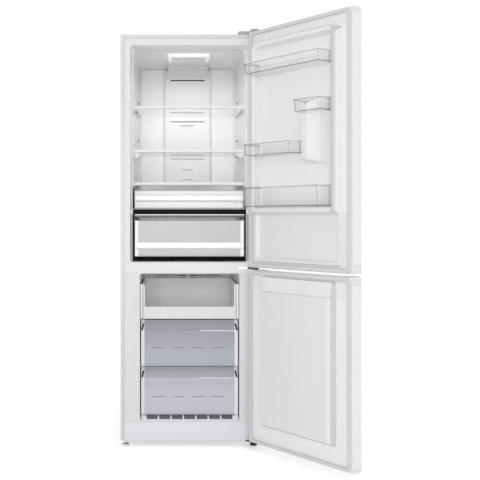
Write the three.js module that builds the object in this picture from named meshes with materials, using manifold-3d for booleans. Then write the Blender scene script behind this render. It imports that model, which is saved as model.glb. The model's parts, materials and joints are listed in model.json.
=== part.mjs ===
// Bottom freezer refrigerator with both doors open: foamed steel cabinet, fridge above, freezer below.
// Millimetres, +Z up. While the pieces are made, X = 0 is the cabinet's middle, Y = 0 its front face
// (-Y is the room in front of it) and Z = 0 the floor. The finished group is then moved so that its
// origin is the bottom centre of everything that it holds.
import * as THREE from "three";
import { mergeVertices } from "three/addons/utils/BufferGeometryUtils.js";
import Module from "manifold-3d";

const wasm = await Module();
wasm.setup();

// ---------- Driving dimensions ----------

// Clearances
const SEAT_GAP = 0.3; // between pieces that rest on each other
const ROLLER_GAP = 1; // on each side of a roller
const PIN_CLEARANCE = 0.4; // between a pin or an axle and its bush
const RACK_CLEARANCE = 5; // between the closed door's racks and the shelves behind them
const DYKE_CLEARANCE = 3; // between the closed door's liner and the trim across the recess
const SILL_CLEARANCE = 2; // between the closed lower door's liner and the sill
const CORNER_STEPS = 4; // facets in each rounded corner

// Cabinet
const CABINET_WIDTH = 595;
const CABINET_DEPTH = 585;
const CABINET_TOP = 1775;
const CABINET_BASE = 27; // the underside stands this high on its feet
const SHEET = 1.2; // steel sheet
const SHELL_RADIUS = 4;
const BASE_SHEET = 2;
const FRONT_FOLD = 17; // steel strip that faces the door gasket
const LINER_WALL = 2;
const FRAME_DEPTH = 12; // depth of the two front cross members
const BASE_HEIGHT = 82; // from the underside to the freezer's floor
const FREEZER_HEIGHT = 636;
const BEAM_HEIGHT = 49; // between the two openings
const CEILING_HEIGHT = 45; // from the fridge's ceiling to the cabinet's top

// Fridge compartment
const FRIDGE_SIDE_WALL = 40.5; // insulation beside the opening
const FRIDGE_DEPTH = 500;
const RECESS_DEPTH = 84; // the wide front zone that the door racks swing into
const RECESS_STEP = 9; // how far the walls step in behind it
const WALL_DRAFT = 9; // how far the walls close in from there to the back
const LEDGE_HEIGHT = 7; // moulded ledges that carry shelves and drawers
const LEDGE_BEARING = 9; // how far a shelf or a drawer reaches over each ledge

// Freezer compartment
const FREEZER_SIDE_WALL = 82.5;
const FREEZER_DEPTH = 505;
const FREEZER_LOWER_DEPTH = 335; // below the step over the compressor
const FREEZER_STEP_HEIGHT = 213; // step above the freezer's floor
const NICHE_HEIGHT = 258; // compressor space above the underside
const NICHE_DEPTH = 215;

// Shelves, as heights above the fridge's floor
const CRISPER_COVER_HEIGHT = 216;
const CHILLER_SHELF_HEIGHT = 345;
const LOWER_SHELF_HEIGHT = 490;
const UPPER_SHELF_HEIGHT = 683;
const SHELF_GLASS = 4;
const TRIM_HEIGHT = 12;
const TRIM_DEPTH = 16;
const TRIM_LIP = 4; // plastic in front of the pane
const PANE_GAP = 3; // beside the pane at the back
const PANE_RADIUS = 3;
const COVER_TRIM_BELOW = 9; // the crisper cover's trim, below and above the pane's top
const COVER_TRIM_ABOVE = 14;

// Drawers of the fridge
const FRONT_PLATE = 12; // thickness of a drawer's front
const CHILLER_SETBACK = 6; // of its face behind the shelves' front edges
const CHILLER_RISE = 2; // above the crisper cover's trim
const CHILLER_HEIGHT = 80;
const CHILLER_TO_REAR = 44; // from the back of its tray to the fridge's rear wall
const CHILLER_DRAFT = 4;
const CRISPER_SETBACK = 12; // of its face behind the trim of its cover
const CRISPER_RISE = 26; // above the fridge's floor
const CRISPER_HEIGHT = 168;
const CRISPER_TO_REAR = 45; // from the back of its bin to the fridge's rear wall
const CRISPER_DRAFT = 6;
const BIN_WALL = 2.5;
const BIN_GAP = 6; // between a bin and the end of the shelf above it
const SURROUND_LEDGE = 4; // how far the dark frame reaches into the opening
const SURROUND_DEPTH = 4;
const CHILLER_GAP = 2; // between the chiller's front and the frame on each side
const CRISPER_GAP = 5;

// Drawers of the freezer
const FREEZER_DRAWER_FRONT = 24;
const FREEZER_DRAWER_DRAFT = 3;
const FREEZER_BIN_GAP = 10; // between a bin and the freezer's side wall
const FREEZER_FRONT_GAP = 5; // between a drawer's front and the side wall
const GRIP_SETBACK = 38; // from a drawer's face to its bin, behind the grip zone
const GRIP_LEAN = 44; // height of the zone that leans back to the top edge
const LOWER_DRAWER_RISE = 23; // bottom of the lowest drawer above the freezer's floor
const DRAWER_OVER_STEP = 20; // bottom of the upper drawer above the step
const UPPER_DRAWER_HEIGHT = 198;
const DRAWER_SPACING = 7;
const TRAY_LIP = 53;
const TRAY_HEIGHT = 151; // its sides and back, and the posts beside its lip
const TRAY_POST = 12;
const UPPER_DRAWER_DEPTH = 400;
const LOWER_DRAWER_DEPTH = 292;

// Doors
const DOOR_ANGLE = 125; // how far both doors stand open
const DOOR_THICKNESS = 53.5;
const DOOR_TO_CABINET = 10; // space that the gasket fills
const DOOR_TO_DOOR = 10;
const DOOR_OVER_TOP = 2;
const DOOR_UNDER_BASE = 3; // the lower door ends this far above the cabinet's underside
const DOOR_EDGE_RADIUS = 9;
const DOOR_RETURN = 11; // the skin's folds behind the door's rim
const CAP_HEIGHT = 14;
const GRIP_CAP_HEIGHT = 34;
const GRIP_RADIUS = 17; // hollow for the fingers along the door's edge
const PIN_FROM_SIDE = 15.5; // hinge axis from the door's side face
const PIN_FROM_INNER_FACE = 24; // hinge axis from the door's inner face
const PIN_RADIUS = 4;
const GASKET_INSET = 3;
const GASKET_HINGE_INSET = 13.5; // further in beside the hinges, so that it clears the cabinet
const GASKET_WIDTH = 15;
const GASKET_TO_CABINET = 0.6;
const DYKE_HEIGHT = 40; // raised rim of the upper door's liner that holds the racks
const DYKE_WIDTH = 33.7;
const DYKE_RADIUS = 46;
const DYKE_SIDE_INSET = 46;
const DYKE_TOP_INSET = 52;
const DYKE_LOW_RADIUS = 18; // its lower corners, at the ledge under the bottle rack
const LOW_RIM_HEIGHT = 14; // shallow rim below that ledge
const LOW_RIM_WIDTH = 22;
const LOW_RIM_INSET = 26; // from the door's bottom edge
const LOW_RIM_RADIUS = 24;
const PAD_HEIGHT = 38; // raised pad that the half-width racks share
const PAD_OVERLAP = 20; // how far it reaches behind the rack on the free side
const PAD_SLOPE = 78; // how far it takes to fall away on the free side
const PLUG_HEIGHT = 14; // raised field of the lower door's liner
const PLUG_CLEARANCE = 3.5; // beside it when the door is shut

// Door racks; a rise is the height of a rack's underside above the upper door's bottom edge, and a
// drop is how far its underside lies below the door's top edge
const RACK_WALL = 2.5;
const RACK_REACH = 105; // how far the deepest rack stands out from the door
const SHORT_REACH = 100; // and the other three
const BOTTLE_RACK_GAP = 7.5; // above the trim of the crisper's cover, when the door is shut
const BOTTLE_RACK_HEIGHT = 81;
const HINGE_RACK_RISE = 465;
const HINGE_RACK_HEIGHT = 51;
const HINGE_RACK_LENGTH = 275;
const FREE_RACK_DROP = 382.5;
const FREE_RACK_HEIGHT = 50;
const FREE_RACK_LENGTH = 137;
const TOP_RACK_DROP = 199.5;
const TOP_RACK_HEIGHT = 46;

// Hinges, feet and rollers
const HINGE_PLATE = 3;
const HINGE_NOSE = 13; // radius of each hinge plate about its pin
const HINGE_COVER_HEIGHT = 9;
const HINGE_COVER_WALL = 2;
const COLLAR_RADIUS = 9;
const FOOT_RADIUS = 16;
const FOOT_SETBACK = 26;
const ROLLER_RADIUS = 15;
const ROLLER_WIDTH = 16;
const ROLLER_FROM_BACK = 45;
const ROLLER_FROM_SIDE = 48;

// ---------- Places worked out from them ----------

const HALF_WIDTH = CABINET_WIDTH / 2;
const INNER_HALF = HALF_WIDTH - SHEET - SEAT_GAP;
const FREEZER_FLOOR = CABINET_BASE + BASE_HEIGHT;
const FREEZER_CEILING = FREEZER_FLOOR + FREEZER_HEIGHT;
const FRIDGE_FLOOR = FREEZER_CEILING + BEAM_HEIGHT;
const FRIDGE_CEILING = CABINET_TOP - CEILING_HEIGHT;
const FRIDGE_HALF = HALF_WIDTH - FRIDGE_SIDE_WALL;
const FREEZER_HALF = HALF_WIDTH - FREEZER_SIDE_WALL;
const BEAM_MIDDLE = (FREEZER_CEILING + FRIDGE_FLOOR) / 2;
const FRAME_HALF = HALF_WIDTH - FRONT_FOLD - SEAT_GAP;

const DOOR_INNER = -DOOR_TO_CABINET;
const DOOR_OUTER = DOOR_INNER - DOOR_THICKNESS;
const PIN_X = HALF_WIDTH - PIN_FROM_SIDE;
const PIN_Y = DOOR_INNER - PIN_FROM_INNER_FACE;
const UPPER_DOOR = { bottom: BEAM_MIDDLE + DOOR_TO_DOOR / 2, top: CABINET_TOP + DOOR_OVER_TOP };
const LOWER_DOOR = { bottom: CABINET_BASE + DOOR_UNDER_BASE, top: BEAM_MIDDLE - DOOR_TO_DOOR / 2 };

const RECESS_DRAFT = 1.5; // how far the recess itself closes in
const BODY_HALF = FRIDGE_HALF - RECESS_STEP - RECESS_DRAFT; // the fridge's walls behind the recess
const BACK_HALF = BODY_HALF - WALL_DRAFT;
const RECESS_END = RECESS_DEPTH + 12;

const SHELF_FRONT = DOOR_INNER + RACK_REACH + RACK_CLEARANCE;
const CHILLER_FRONT = SHELF_FRONT + CHILLER_SETBACK;
const COVER_FRONT = DOOR_INNER + DYKE_HEIGHT + DYKE_CLEARANCE; // front of the crisper cover's trim
const CRISPER_FRONT = COVER_FRONT + CRISPER_SETBACK;
const SILL_FRONT = DOOR_INNER + PLUG_HEIGHT + SILL_CLEARANCE;

// ---------- Solid modelling helpers ----------

// A closed manifold solid from a three.js geometry, turned right side out where needed.
function solidOf(geometry) {
  const flat = geometry.index ? geometry.toNonIndexed() : geometry;
  const bare = new THREE.BufferGeometry().setAttribute("position", flat.getAttribute("position"));
  const merged = mergeVertices(bare, 1e-4);
  const corners = merged.index.array;
  const kept = [];
  for (let i = 0; i < corners.length; i += 3) {
    const [a, b, c] = corners.slice(i, i + 3);
    if (a !== b && b !== c && a !== c) kept.push(a, b, c);
  }
  const build = (triangles) =>
    new wasm.Manifold(
      new wasm.Mesh({
        numProp: 3,
        vertProperties: new Float32Array(merged.attributes.position.array),
        triVerts: new Uint32Array(triangles),
      }),
    );
  const solid = build(kept);
  return solid.volume() > 0 ? solid : build(kept.toReversed());
}

function geometryOf(solid) {
  const mesh = solid.getMesh();
  const positions = new Float32Array(mesh.numVert * 3);
  for (let i = 0; i < mesh.numVert; i++) {
    const first = i * mesh.numProp;
    positions.set(mesh.vertProperties.subarray(first, first + 3), i * 3);
  }
  const geometry = new THREE.BufferGeometry();
  geometry.setAttribute("position", new THREE.BufferAttribute(positions, 3));
  geometry.setIndex(new THREE.BufferAttribute(mesh.triVerts, 1));
  geometry.computeVertexNormals();
  return geometry;
}

const join = (...solids) => solids.flat().reduce((all, next) => all.add(next));
const cut = (solid, ...tools) => tools.flat().reduce((all, next) => all.subtract(next), solid);

function box(x0, x1, y0, y1, z0, z1) {
  const geometry = new THREE.BoxGeometry(x1 - x0, y1 - y0, z1 - z0);
  geometry.translate((x0 + x1) / 2, (y0 + y1) / 2, (z0 + z1) / 2);
  return solidOf(geometry);
}

// A round bar from one point to another.
function rod(radius, from, to, sides = 16) {
  const start = new THREE.Vector3(...from);
  const end = new THREE.Vector3(...to);
  const geometry = new THREE.CylinderGeometry(radius, radius, start.distanceTo(end), sides);
  const along = end.clone().sub(start).normalize();
  geometry.applyQuaternion(new THREE.Quaternion().setFromUnitVectors(new THREE.Vector3(0, 1, 0), along));
  geometry.translate(...start.lerp(end, 0.5).toArray());
  return solidOf(geometry);
}

// Turns a [radius, height] profile about the vertical line through (x, y).
function turned(profile, x, y, sides = 16) {
  const points = profile.map(([radius, height]) => new THREE.Vector2(radius, height));
  const geometry = new THREE.LatheGeometry(points, sides);
  geometry.rotateX(Math.PI / 2);
  geometry.translate(x, y, 0);
  return solidOf(geometry);
}

const outline = (points) => new THREE.Shape(points.map(([a, b]) => new THREE.Vector2(a, b)));

function extruded(shape, depth) {
  return new THREE.ExtrudeGeometry(shape, { depth, bevelEnabled: false, curveSegments: CORNER_STEPS });
}

// Outlines drawn in X and Y, in X and Z, or in Y and Z, and drawn out along the third axis.
function alongZ(shape, z0, z1) {
  return solidOf(extruded(shape, z1 - z0).translate(0, 0, z0));
}

function alongY(shape, y0, y1) {
  return solidOf(extruded(shape, y1 - y0).rotateX(Math.PI / 2).translate(0, y1, 0));
}

function alongX(shape, x0, x1) {
  const turn = new THREE.Matrix4().makeBasis(
    new THREE.Vector3(0, 1, 0),
    new THREE.Vector3(0, 0, 1),
    new THREE.Vector3(1, 0, 0),
  );
  return solidOf(extruded(shape, x1 - x0).applyMatrix4(turn).translate(x0, 0, 0));
}

// Corner points of a rounded rectangle, the same number at every size. Its lower corners can have a
// radius of their own.
function roundedLoop({ a0, a1, b0, b1, r, lowR = r }) {
  const corners = [
    [a1 - r, b1 - r, r],
    [a0 + r, b1 - r, r],
    [a0 + lowR, b0 + lowR, lowR],
    [a1 - lowR, b0 + lowR, lowR],
  ];
  return corners.flatMap(([a, b, radius], quarter) =>
    Array.from({ length: CORNER_STEPS + 1 }, (_, step) => {
      const angle = ((quarter + step / CORNER_STEPS) * Math.PI) / 2;
      return [a + radius * Math.cos(angle), b + radius * Math.sin(angle)];
    }),
  );
}

const roundedRectangle = (a0, a1, b0, b1, r) => outline(roundedLoop({ a0, a1, b0, b1, r }));

// A moulding through rounded-rectangle sections. Each section is { a0, a1, b0, b1, r, h }; place turns
// (a, b, h) into X, Y, Z. An open run is closed by its end sections, a ring by joining its ends.
function moulding(sections, place, ring = false) {
  const loops = sections.map((section) => roundedLoop(section).map(([a, b]) => place(a, b, section.h)));
  const count = loops[0].length;
  const positions = [];
  const triangle = (...corners) => corners.forEach((corner) => positions.push(...corner));
  const pairs = ring ? loops.length : loops.length - 1;
  for (let i = 0; i < pairs; i++) {
    const low = loops[i];
    const high = loops[(i + 1) % loops.length];
    for (let j = 0; j < count; j++) {
      const k = (j + 1) % count;
      triangle(low[j], low[k], high[k]);
      triangle(low[j], high[k], high[j]);
    }
  }
  if (!ring) {
    for (let j = 1; j < count - 1; j++) {
      triangle(loops[0][0], loops[0][j + 1], loops[0][j]);
      triangle(loops.at(-1)[0], loops.at(-1)[j], loops.at(-1)[j + 1]);
    }
  }
  const geometry = new THREE.BufferGeometry();
  geometry.setAttribute("position", new THREE.Float32BufferAttribute(positions, 3));
  return solidOf(geometry);
}

const upright = (a, b, h) => [a, b, h]; // sections lie flat, stacked along Z
const inward = (a, b, h) => [a, h, b]; // sections stand in X and Z, stacked along Y

// Grows a section by the same amount on every side.
const grown = ({ a0, a1, b0, b1, r, h }, by) => ({
  a0: a0 - by,
  a1: a1 + by,
  b0: b0 - by,
  b1: b1 + by,
  r: r + by,
  h,
});

// An open bin: outer walls up, over the rim, and down inside. Its front is upright.
function bin({ x0, x1, y0, y1, z0, z1, r, wall, draft }) {
  const base = { a0: x0 + draft, a1: x1 - draft, b0: y0, b1: y1 - draft, r };
  const rim = { a0: x0, a1: x1, b0: y0, b1: y1, r };
  const sections = [
    { ...grown(base, -wall / 2), h: z0 },
    { ...base, h: z0 + wall / 2 },
    { ...rim, h: z1 },
    { ...grown(rim, -wall), h: z1 },
    { ...grown(base, -wall), h: z0 + wall },
  ];
  return moulding(sections, upright);
}

const fridge = new THREE.Group();

// Adds one named piece with its own finish.
function piece(parent, name, solid, color, roughness, metalness = 0) {
  const material = new THREE.MeshStandardMaterial({ color, roughness, metalness });
  const mesh = new THREE.Mesh(geometryOf(solid), material);
  mesh.name = name;
  parent.add(mesh);
}

const WHITE_STEEL = [0xe9e9ea, 0.35, 0.2];
const WHITE_LINER = [0xf1f1f2, 0.4];
const WHITE_PLASTIC = [0xe6e6e8, 0.45];
const GREY_STEEL = [0x8f9295, 0.45, 0.8];
const BLACK_PLASTIC = [0x1b1b1d, 0.3];
const CLEAR_PLASTIC = [0xdfe3e6, 0.1];
const SMOKE_PLASTIC = [0xb4b6cc, 0.2];
const SHELF_PANE = [0xd7dfdc, 0.05];
const FOAM = [0xe8dfb5, 0.9];

// ---------- Cavities of the two compartments ----------

// Where a cavity's mouth sections stand: at its front, and at the cabinet's face if that lies behind.
const mouthHeights = (front) => (front < 0 ? [front, 0] : [front]);

// The fridge's inside, grown by the given amount and starting at the given front: in front of the
// opening, or behind its face.
function fridgeCavity(grow = 0, front = -1) {
  const section = (half, floor, ceiling, r, h) => ({
    ...grown({ a0: -half, a1: half, b0: FRIDGE_FLOOR + floor, b1: FRIDGE_CEILING - ceiling, r }, grow),
    h,
  });
  return moulding(
    [
      ...mouthHeights(front).map((h) => section(FRIDGE_HALF, 0, 0, 14, h)),
      section(FRIDGE_HALF - RECESS_DRAFT, 1, RECESS_DRAFT, 14, RECESS_DEPTH - grow / 2),
      section(BODY_HALF, 2, 8, 16, RECESS_END - grow / 2),
      section(BACK_HALF, 5, 14, 22, FRIDGE_DEPTH - 45 + grow / 2),
      section(BACK_HALF - 4, 9, 19, 24, FRIDGE_DEPTH - 15 + grow / 2),
      section(BACK_HALF - 16, 18, 30, 20, FRIDGE_DEPTH + grow),
    ],
    inward,
  );
}

// The freezer's inside: deep above, and shallower below a step that clears the compressor.
function freezerCavity(grow = 0, front = -1) {
  const section = (inset, h) => ({
    ...grown(
      {
        a0: inset - FREEZER_HALF,
        a1: FREEZER_HALF - inset,
        b0: FREEZER_FLOOR + inset,
        b1: FREEZER_CEILING - inset,
        r: 12,
      },
      grow,
    ),
    h,
  });
  const whole = moulding(
    [
      ...mouthHeights(front).map((h) => section(0, h)),
      section(3, FREEZER_DEPTH - 20 + grow / 2),
      section(9, FREEZER_DEPTH + grow),
    ],
    inward,
  );
  const wall = FREEZER_LOWER_DEPTH + grow;
  const shelf = FREEZER_FLOOR + FREEZER_STEP_HEIGHT - grow;
  const step = outline([
    [wall, 0],
    [FREEZER_DEPTH + 50, 0],
    [FREEZER_DEPTH + 50, shelf],
    [wall + 14, shelf],
    [wall, shelf - 14],
  ]);
  return cut(whole, alongX(step, -HALF_WIDTH, HALF_WIDTH));
}

// A pair of ledges on the side walls: their tops are at the given height.
function ledges(cavity, innerHalf, top, y0, y1) {
  const left = box(-HALF_WIDTH, -innerHalf, y0, y1, top - LEDGE_HEIGHT, top);
  const right = box(innerHalf, HALF_WIDTH, y0, y1, top - LEDGE_HEIGHT, top);
  return [left.intersect(cavity), right.intersect(cavity)];
}

// ---------- Heights of shelves and drawers ----------

const CRISPER_COVER = FRIDGE_FLOOR + CRISPER_COVER_HEIGHT;
const CHILLER_SHELF = FRIDGE_FLOOR + CHILLER_SHELF_HEIGHT;
const LOWER_SHELF = FRIDGE_FLOOR + LOWER_SHELF_HEIGHT;
const UPPER_SHELF = FRIDGE_FLOOR + UPPER_SHELF_HEIGHT;
const CHILLER_BOTTOM = CRISPER_COVER + COVER_TRIM_ABOVE + CHILLER_RISE;
const CRISPER_BOTTOM = FRIDGE_FLOOR + CRISPER_RISE;
const LOWER_DRAWER_BOTTOM = FREEZER_FLOOR + LOWER_DRAWER_RISE;
const UPPER_DRAWER_BOTTOM = FREEZER_FLOOR + FREEZER_STEP_HEIGHT + DRAWER_OVER_STEP;
const LOWER_DRAWER_HEIGHT = UPPER_DRAWER_BOTTOM - DRAWER_SPACING - LOWER_DRAWER_BOTTOM;
const TRAY_BOTTOM = UPPER_DRAWER_BOTTOM + UPPER_DRAWER_HEIGHT + DRAWER_SPACING;

const SHELF_BACK = FRIDGE_DEPTH - 20;
const GLASS_HALF = BACK_HALF - PANE_GAP;
const BIN_HALF = GLASS_HALF - BIN_GAP;
const FREEZER_BIN_HALF = FREEZER_HALF - FREEZER_BIN_GAP;
const FREEZER_LEDGE_FRONT = FREEZER_DRAWER_FRONT + GRIP_SETBACK + 4;

// Half the clear width between the ledges under a pane, or under a bin that narrows downwards.
const ledgeInner = (half, draft = 0) => half - draft - BIN_WALL / 2 - LEDGE_BEARING;

// ---------- Cabinet ----------

// The cabinet's front outline in X and Z, from its right foot over the top to its left foot,
// shrunk by the given amount.
function archPoints(shrink) {
  const half = HALF_WIDTH - shrink;
  const top = CABINET_TOP - shrink;
  const r = Math.max(0.5, SHELL_RADIUS - shrink);
  const right = [[half, CABINET_BASE]];
  for (let i = 0; i <= CORNER_STEPS; i++) {
    const angle = ((i / CORNER_STEPS) * Math.PI) / 2;
    right.push([half - r + r * Math.cos(angle), top - r + r * Math.sin(angle)]);
  }
  return [...right, ...right.map(([x, z]) => [-x, z]).reverse()];
}

const shellBand = (width) => outline([...archPoints(0), ...archPoints(width).reverse()]);
const insideShell = (y0, y1) => alongY(outline(archPoints(SHEET + SEAT_GAP)), y0, y1);

function cabinetShell() {
  const wrap = alongY(shellBand(SHEET), 0, CABINET_DEPTH);
  return join(wrap, alongY(shellBand(FRONT_FOLD), 0, SHEET));
}

// Rear sheet with pressed upright ribs, inside the ends of the wrap.
function backPanel() {
  const half = INNER_HALF;
  const ribs = [-0.5, 0, 0.5].map((share) => share * half);
  const face = [[-half, 0]];
  for (const middle of ribs)
    face.push([middle - 16, 0], [middle - 11, -4], [middle + 11, -4], [middle + 16, 0]);
  face.push([half, 0]);
  const back = CABINET_DEPTH - SEAT_GAP;
  const front = face.map(([x, y]) => [x, back + y - SHEET]).reverse();
  const shape = outline([...face.map(([x, y]) => [x, back + y]), ...front]);
  const sheet = alongZ(shape, CABINET_BASE + NICHE_HEIGHT, CABINET_TOP);
  return sheet.intersect(insideShell(0, CABINET_DEPTH));
}

function cabinetFoam() {
  const back = CABINET_DEPTH - SHEET - 2 * SEAT_GAP - 4;
  const floor = box(-HALF_WIDTH, HALF_WIDTH, 0, back, 0, CABINET_BASE + BASE_SHEET + SEAT_GAP);
  const front = SHEET + LINER_WALL + 2 * SEAT_GAP;
  const clear = LINER_WALL + SEAT_GAP;
  const beamSpace = box(
    -INNER_HALF,
    INNER_HALF,
    0,
    FRAME_DEPTH + SEAT_GAP,
    FREEZER_CEILING + LINER_WALL,
    FRIDGE_FLOOR - LINER_WALL,
  );
  const sillSpace = box(-INNER_HALF, INNER_HALF, 0, FRAME_DEPTH + SEAT_GAP, 0, FREEZER_FLOOR - LINER_WALL);
  const nicheFront = CABINET_DEPTH - NICHE_DEPTH;
  const nicheTop = CABINET_BASE + NICHE_HEIGHT - SEAT_GAP;
  const niche = alongX(
    outline([
      [nicheFront, 0],
      [CABINET_DEPTH + 1, 0],
      [CABINET_DEPTH + 1, nicheTop],
      [nicheFront + 70, nicheTop],
      [nicheFront, nicheTop - 90],
    ]),
    25 - INNER_HALF,
    INNER_HALF - 25,
  );
  return cut(
    insideShell(front, back),
    floor,
    fridgeCavity(clear),
    freezerCavity(clear),
    beamSpace,
    sillSpace,
    niche,
  );
}

function fridgeLiner() {
  const top = FRIDGE_CEILING + CEILING_HEIGHT - FRONT_FOLD - SEAT_GAP;
  const y0 = SHEET + SEAT_GAP;
  const flange = box(-FRAME_HALF, FRAME_HALF, y0, y0 + LINER_WALL, FRIDGE_FLOOR - LINER_WALL, top);
  const outside = fridgeCavity(LINER_WALL, y0);
  const inside = fridgeCavity(0, -5);
  const skin = fridgeCavity(LINER_WALL / 2, y0 + LINER_WALL / 2);
  const back = SHELF_BACK - 30;
  const restFront = SHELF_FRONT + TRIM_DEPTH + 6;
  const rests = [UPPER_SHELF, LOWER_SHELF, CHILLER_SHELF, CRISPER_COVER].flatMap((height) =>
    ledges(skin, ledgeInner(GLASS_HALF), height - SHELF_GLASS - SEAT_GAP, restFront, back),
  );
  const runner = (height, draft, front) =>
    ledges(skin, ledgeInner(BIN_HALF, draft), height - SEAT_GAP, front, back);
  return join(
    cut(join(flange, outside), inside),
    rests,
    runner(CHILLER_BOTTOM, CHILLER_DRAFT, CHILLER_FRONT + FRONT_PLATE + 4),
    runner(CRISPER_BOTTOM, CRISPER_DRAFT, RECESS_END + 4),
  );
}

function freezerLiner() {
  const y0 = SHEET + SEAT_GAP;
  const flange = box(
    -FRAME_HALF,
    FRAME_HALF,
    y0,
    y0 + LINER_WALL,
    FREEZER_FLOOR - LINER_WALL,
    FREEZER_CEILING + LINER_WALL,
  );
  const outside = freezerCavity(LINER_WALL, y0);
  const inside = freezerCavity(0, -5);
  const skin = freezerCavity(LINER_WALL / 2, y0 + LINER_WALL / 2);
  const inner = ledgeInner(FREEZER_BIN_HALF, FREEZER_DRAWER_DRAFT);
  const deep = FREEZER_DRAWER_FRONT + UPPER_DRAWER_DEPTH;
  const shallow = FREEZER_DRAWER_FRONT + LOWER_DRAWER_DEPTH;
  const runner = (height, end) =>
    ledges(skin, inner, height - SEAT_GAP, FREEZER_LEDGE_FRONT, end);
  return join(
    cut(join(flange, outside), inside),
    runner(TRAY_BOTTOM, deep),
    runner(UPPER_DRAWER_BOTTOM, deep),
    runner(LOWER_DRAWER_BOTTOM, shallow),
  );
}

// A steel channel across the front, open to the rear.
function crossMember(z0, z1) {
  const shape = outline([
    [0, z0],
    [FRAME_DEPTH, z0],
    [FRAME_DEPTH, z0 + SHEET],
    [SHEET, z0 + SHEET],
    [SHEET, z1 - SHEET],
    [FRAME_DEPTH, z1 - SHEET],
    [FRAME_DEPTH, z1],
    [0, z1],
  ]);
  return alongX(shape, -FRAME_HALF, FRAME_HALF);
}

const ROLLER_X = HALF_WIDTH - ROLLER_FROM_SIDE;
const ROLLER_Y = CABINET_DEPTH - ROLLER_FROM_BACK;
const FOOT_X = HALF_WIDTH - FOOT_RADIUS - 4;
const AXLE_RADIUS = 3;
const EAR = 2;
const REAR_LIP = 22;

// The pressed floor of the cabinet, with a lip at the rear and a pair of ears for each roller.
function baseFrame() {
  const front = FRAME_DEPTH + 2 * SEAT_GAP;
  const back = CABINET_DEPTH - SHEET;
  const half = INNER_HALF;
  const top = CABINET_BASE + BASE_SHEET;
  const floor = alongX(
    outline([
      [front, CABINET_BASE],
      [back, CABINET_BASE],
      [back, CABINET_BASE + REAR_LIP],
      [back - BASE_SHEET, CABINET_BASE + REAR_LIP],
      [back - BASE_SHEET, top],
      [front, top],
    ]),
    -half,
    half,
  );
  const ears = [-1, 1].flatMap((side) =>
    [-1, 1].map((face) => {
      const x = side * ROLLER_X + (face * (ROLLER_WIDTH + 2 * ROLLER_GAP + EAR)) / 2;
      const shape = outline([
        [ROLLER_Y - 14, CABINET_BASE + 1],
        [ROLLER_Y - 6, ROLLER_RADIUS - 6],
        [ROLLER_Y + 6, ROLLER_RADIUS - 6],
        [ROLLER_Y + 14, CABINET_BASE + 1],
      ]);
      return alongX(shape, x - EAR / 2, x + EAR / 2);
    }),
  );
  const wells = [-1, 1].map((side) => {
    const x = side * ROLLER_X;
    const reach = ROLLER_WIDTH / 2 + ROLLER_GAP;
    return box(x - reach, x + reach, ROLLER_Y - 14, ROLLER_Y + 14, CABINET_BASE - 1, top + 1);
  });
  const axleHoles = [-1, 1].map((side) => {
    const x = side * ROLLER_X;
    const reach = ROLLER_WIDTH / 2 + 8;
    const r = AXLE_RADIUS + PIN_CLEARANCE;
    return rod(r, [x - reach, ROLLER_Y, ROLLER_RADIUS], [x + reach, ROLLER_Y, ROLLER_RADIUS]);
  });
  return cut(join(floor, ears), wells, axleHoles);
}

function frontFoot(side) {
  const x = side * FOOT_X;
  const top = CABINET_BASE - SEAT_GAP;
  return turned(
    [
      [0, 0],
      [FOOT_RADIUS - 1, 0],
      [FOOT_RADIUS, 2],
      [FOOT_RADIUS, 7],
      [FOOT_RADIUS - 4, 10],
      [7, 11],
      [7, top],
      [0, top],
    ],
    x,
    FOOT_SETBACK,
  );
}

// A grooved plastic wheel on a steel axle that ends in the ears.
function rearRoller(side) {
  const x = side * ROLLER_X;
  const half = ROLLER_WIDTH / 2;
  const reach = half + ROLLER_GAP + EAR;
  const wheel = [
    [0, -half],
    [ROLLER_RADIUS - 3, -half],
    [ROLLER_RADIUS, 3 - half],
    [ROLLER_RADIUS, half - 3],
    [ROLLER_RADIUS - 3, half],
    [0, half],
  ];
  const points = wheel.map(([radius, height]) => new THREE.Vector2(radius, height));
  const geometry = new THREE.LatheGeometry(points, 18).rotateZ(Math.PI / 2);
  geometry.translate(x, ROLLER_Y, ROLLER_RADIUS);
  const axle = rod(
    AXLE_RADIUS,
    [x - reach, ROLLER_Y, ROLLER_RADIUS],
    [x + reach, ROLLER_Y, ROLLER_RADIUS],
  );
  return join(solidOf(geometry), axle);
}

// The sealed motor compressor: a domed can with a mounting foot, a relay cover and two pipe stubs.
const COMPRESSOR = {
  x: -120,
  y: CABINET_DEPTH - 95,
  halfX: 78,
  halfY: 68,
  height: 165,
  round: 62, // plan radius of the can
  footOver: 14,
  footHalf: 45,
  studShift: 33,
  relayOut: 26,
  pipeShift: 18,
};

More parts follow.
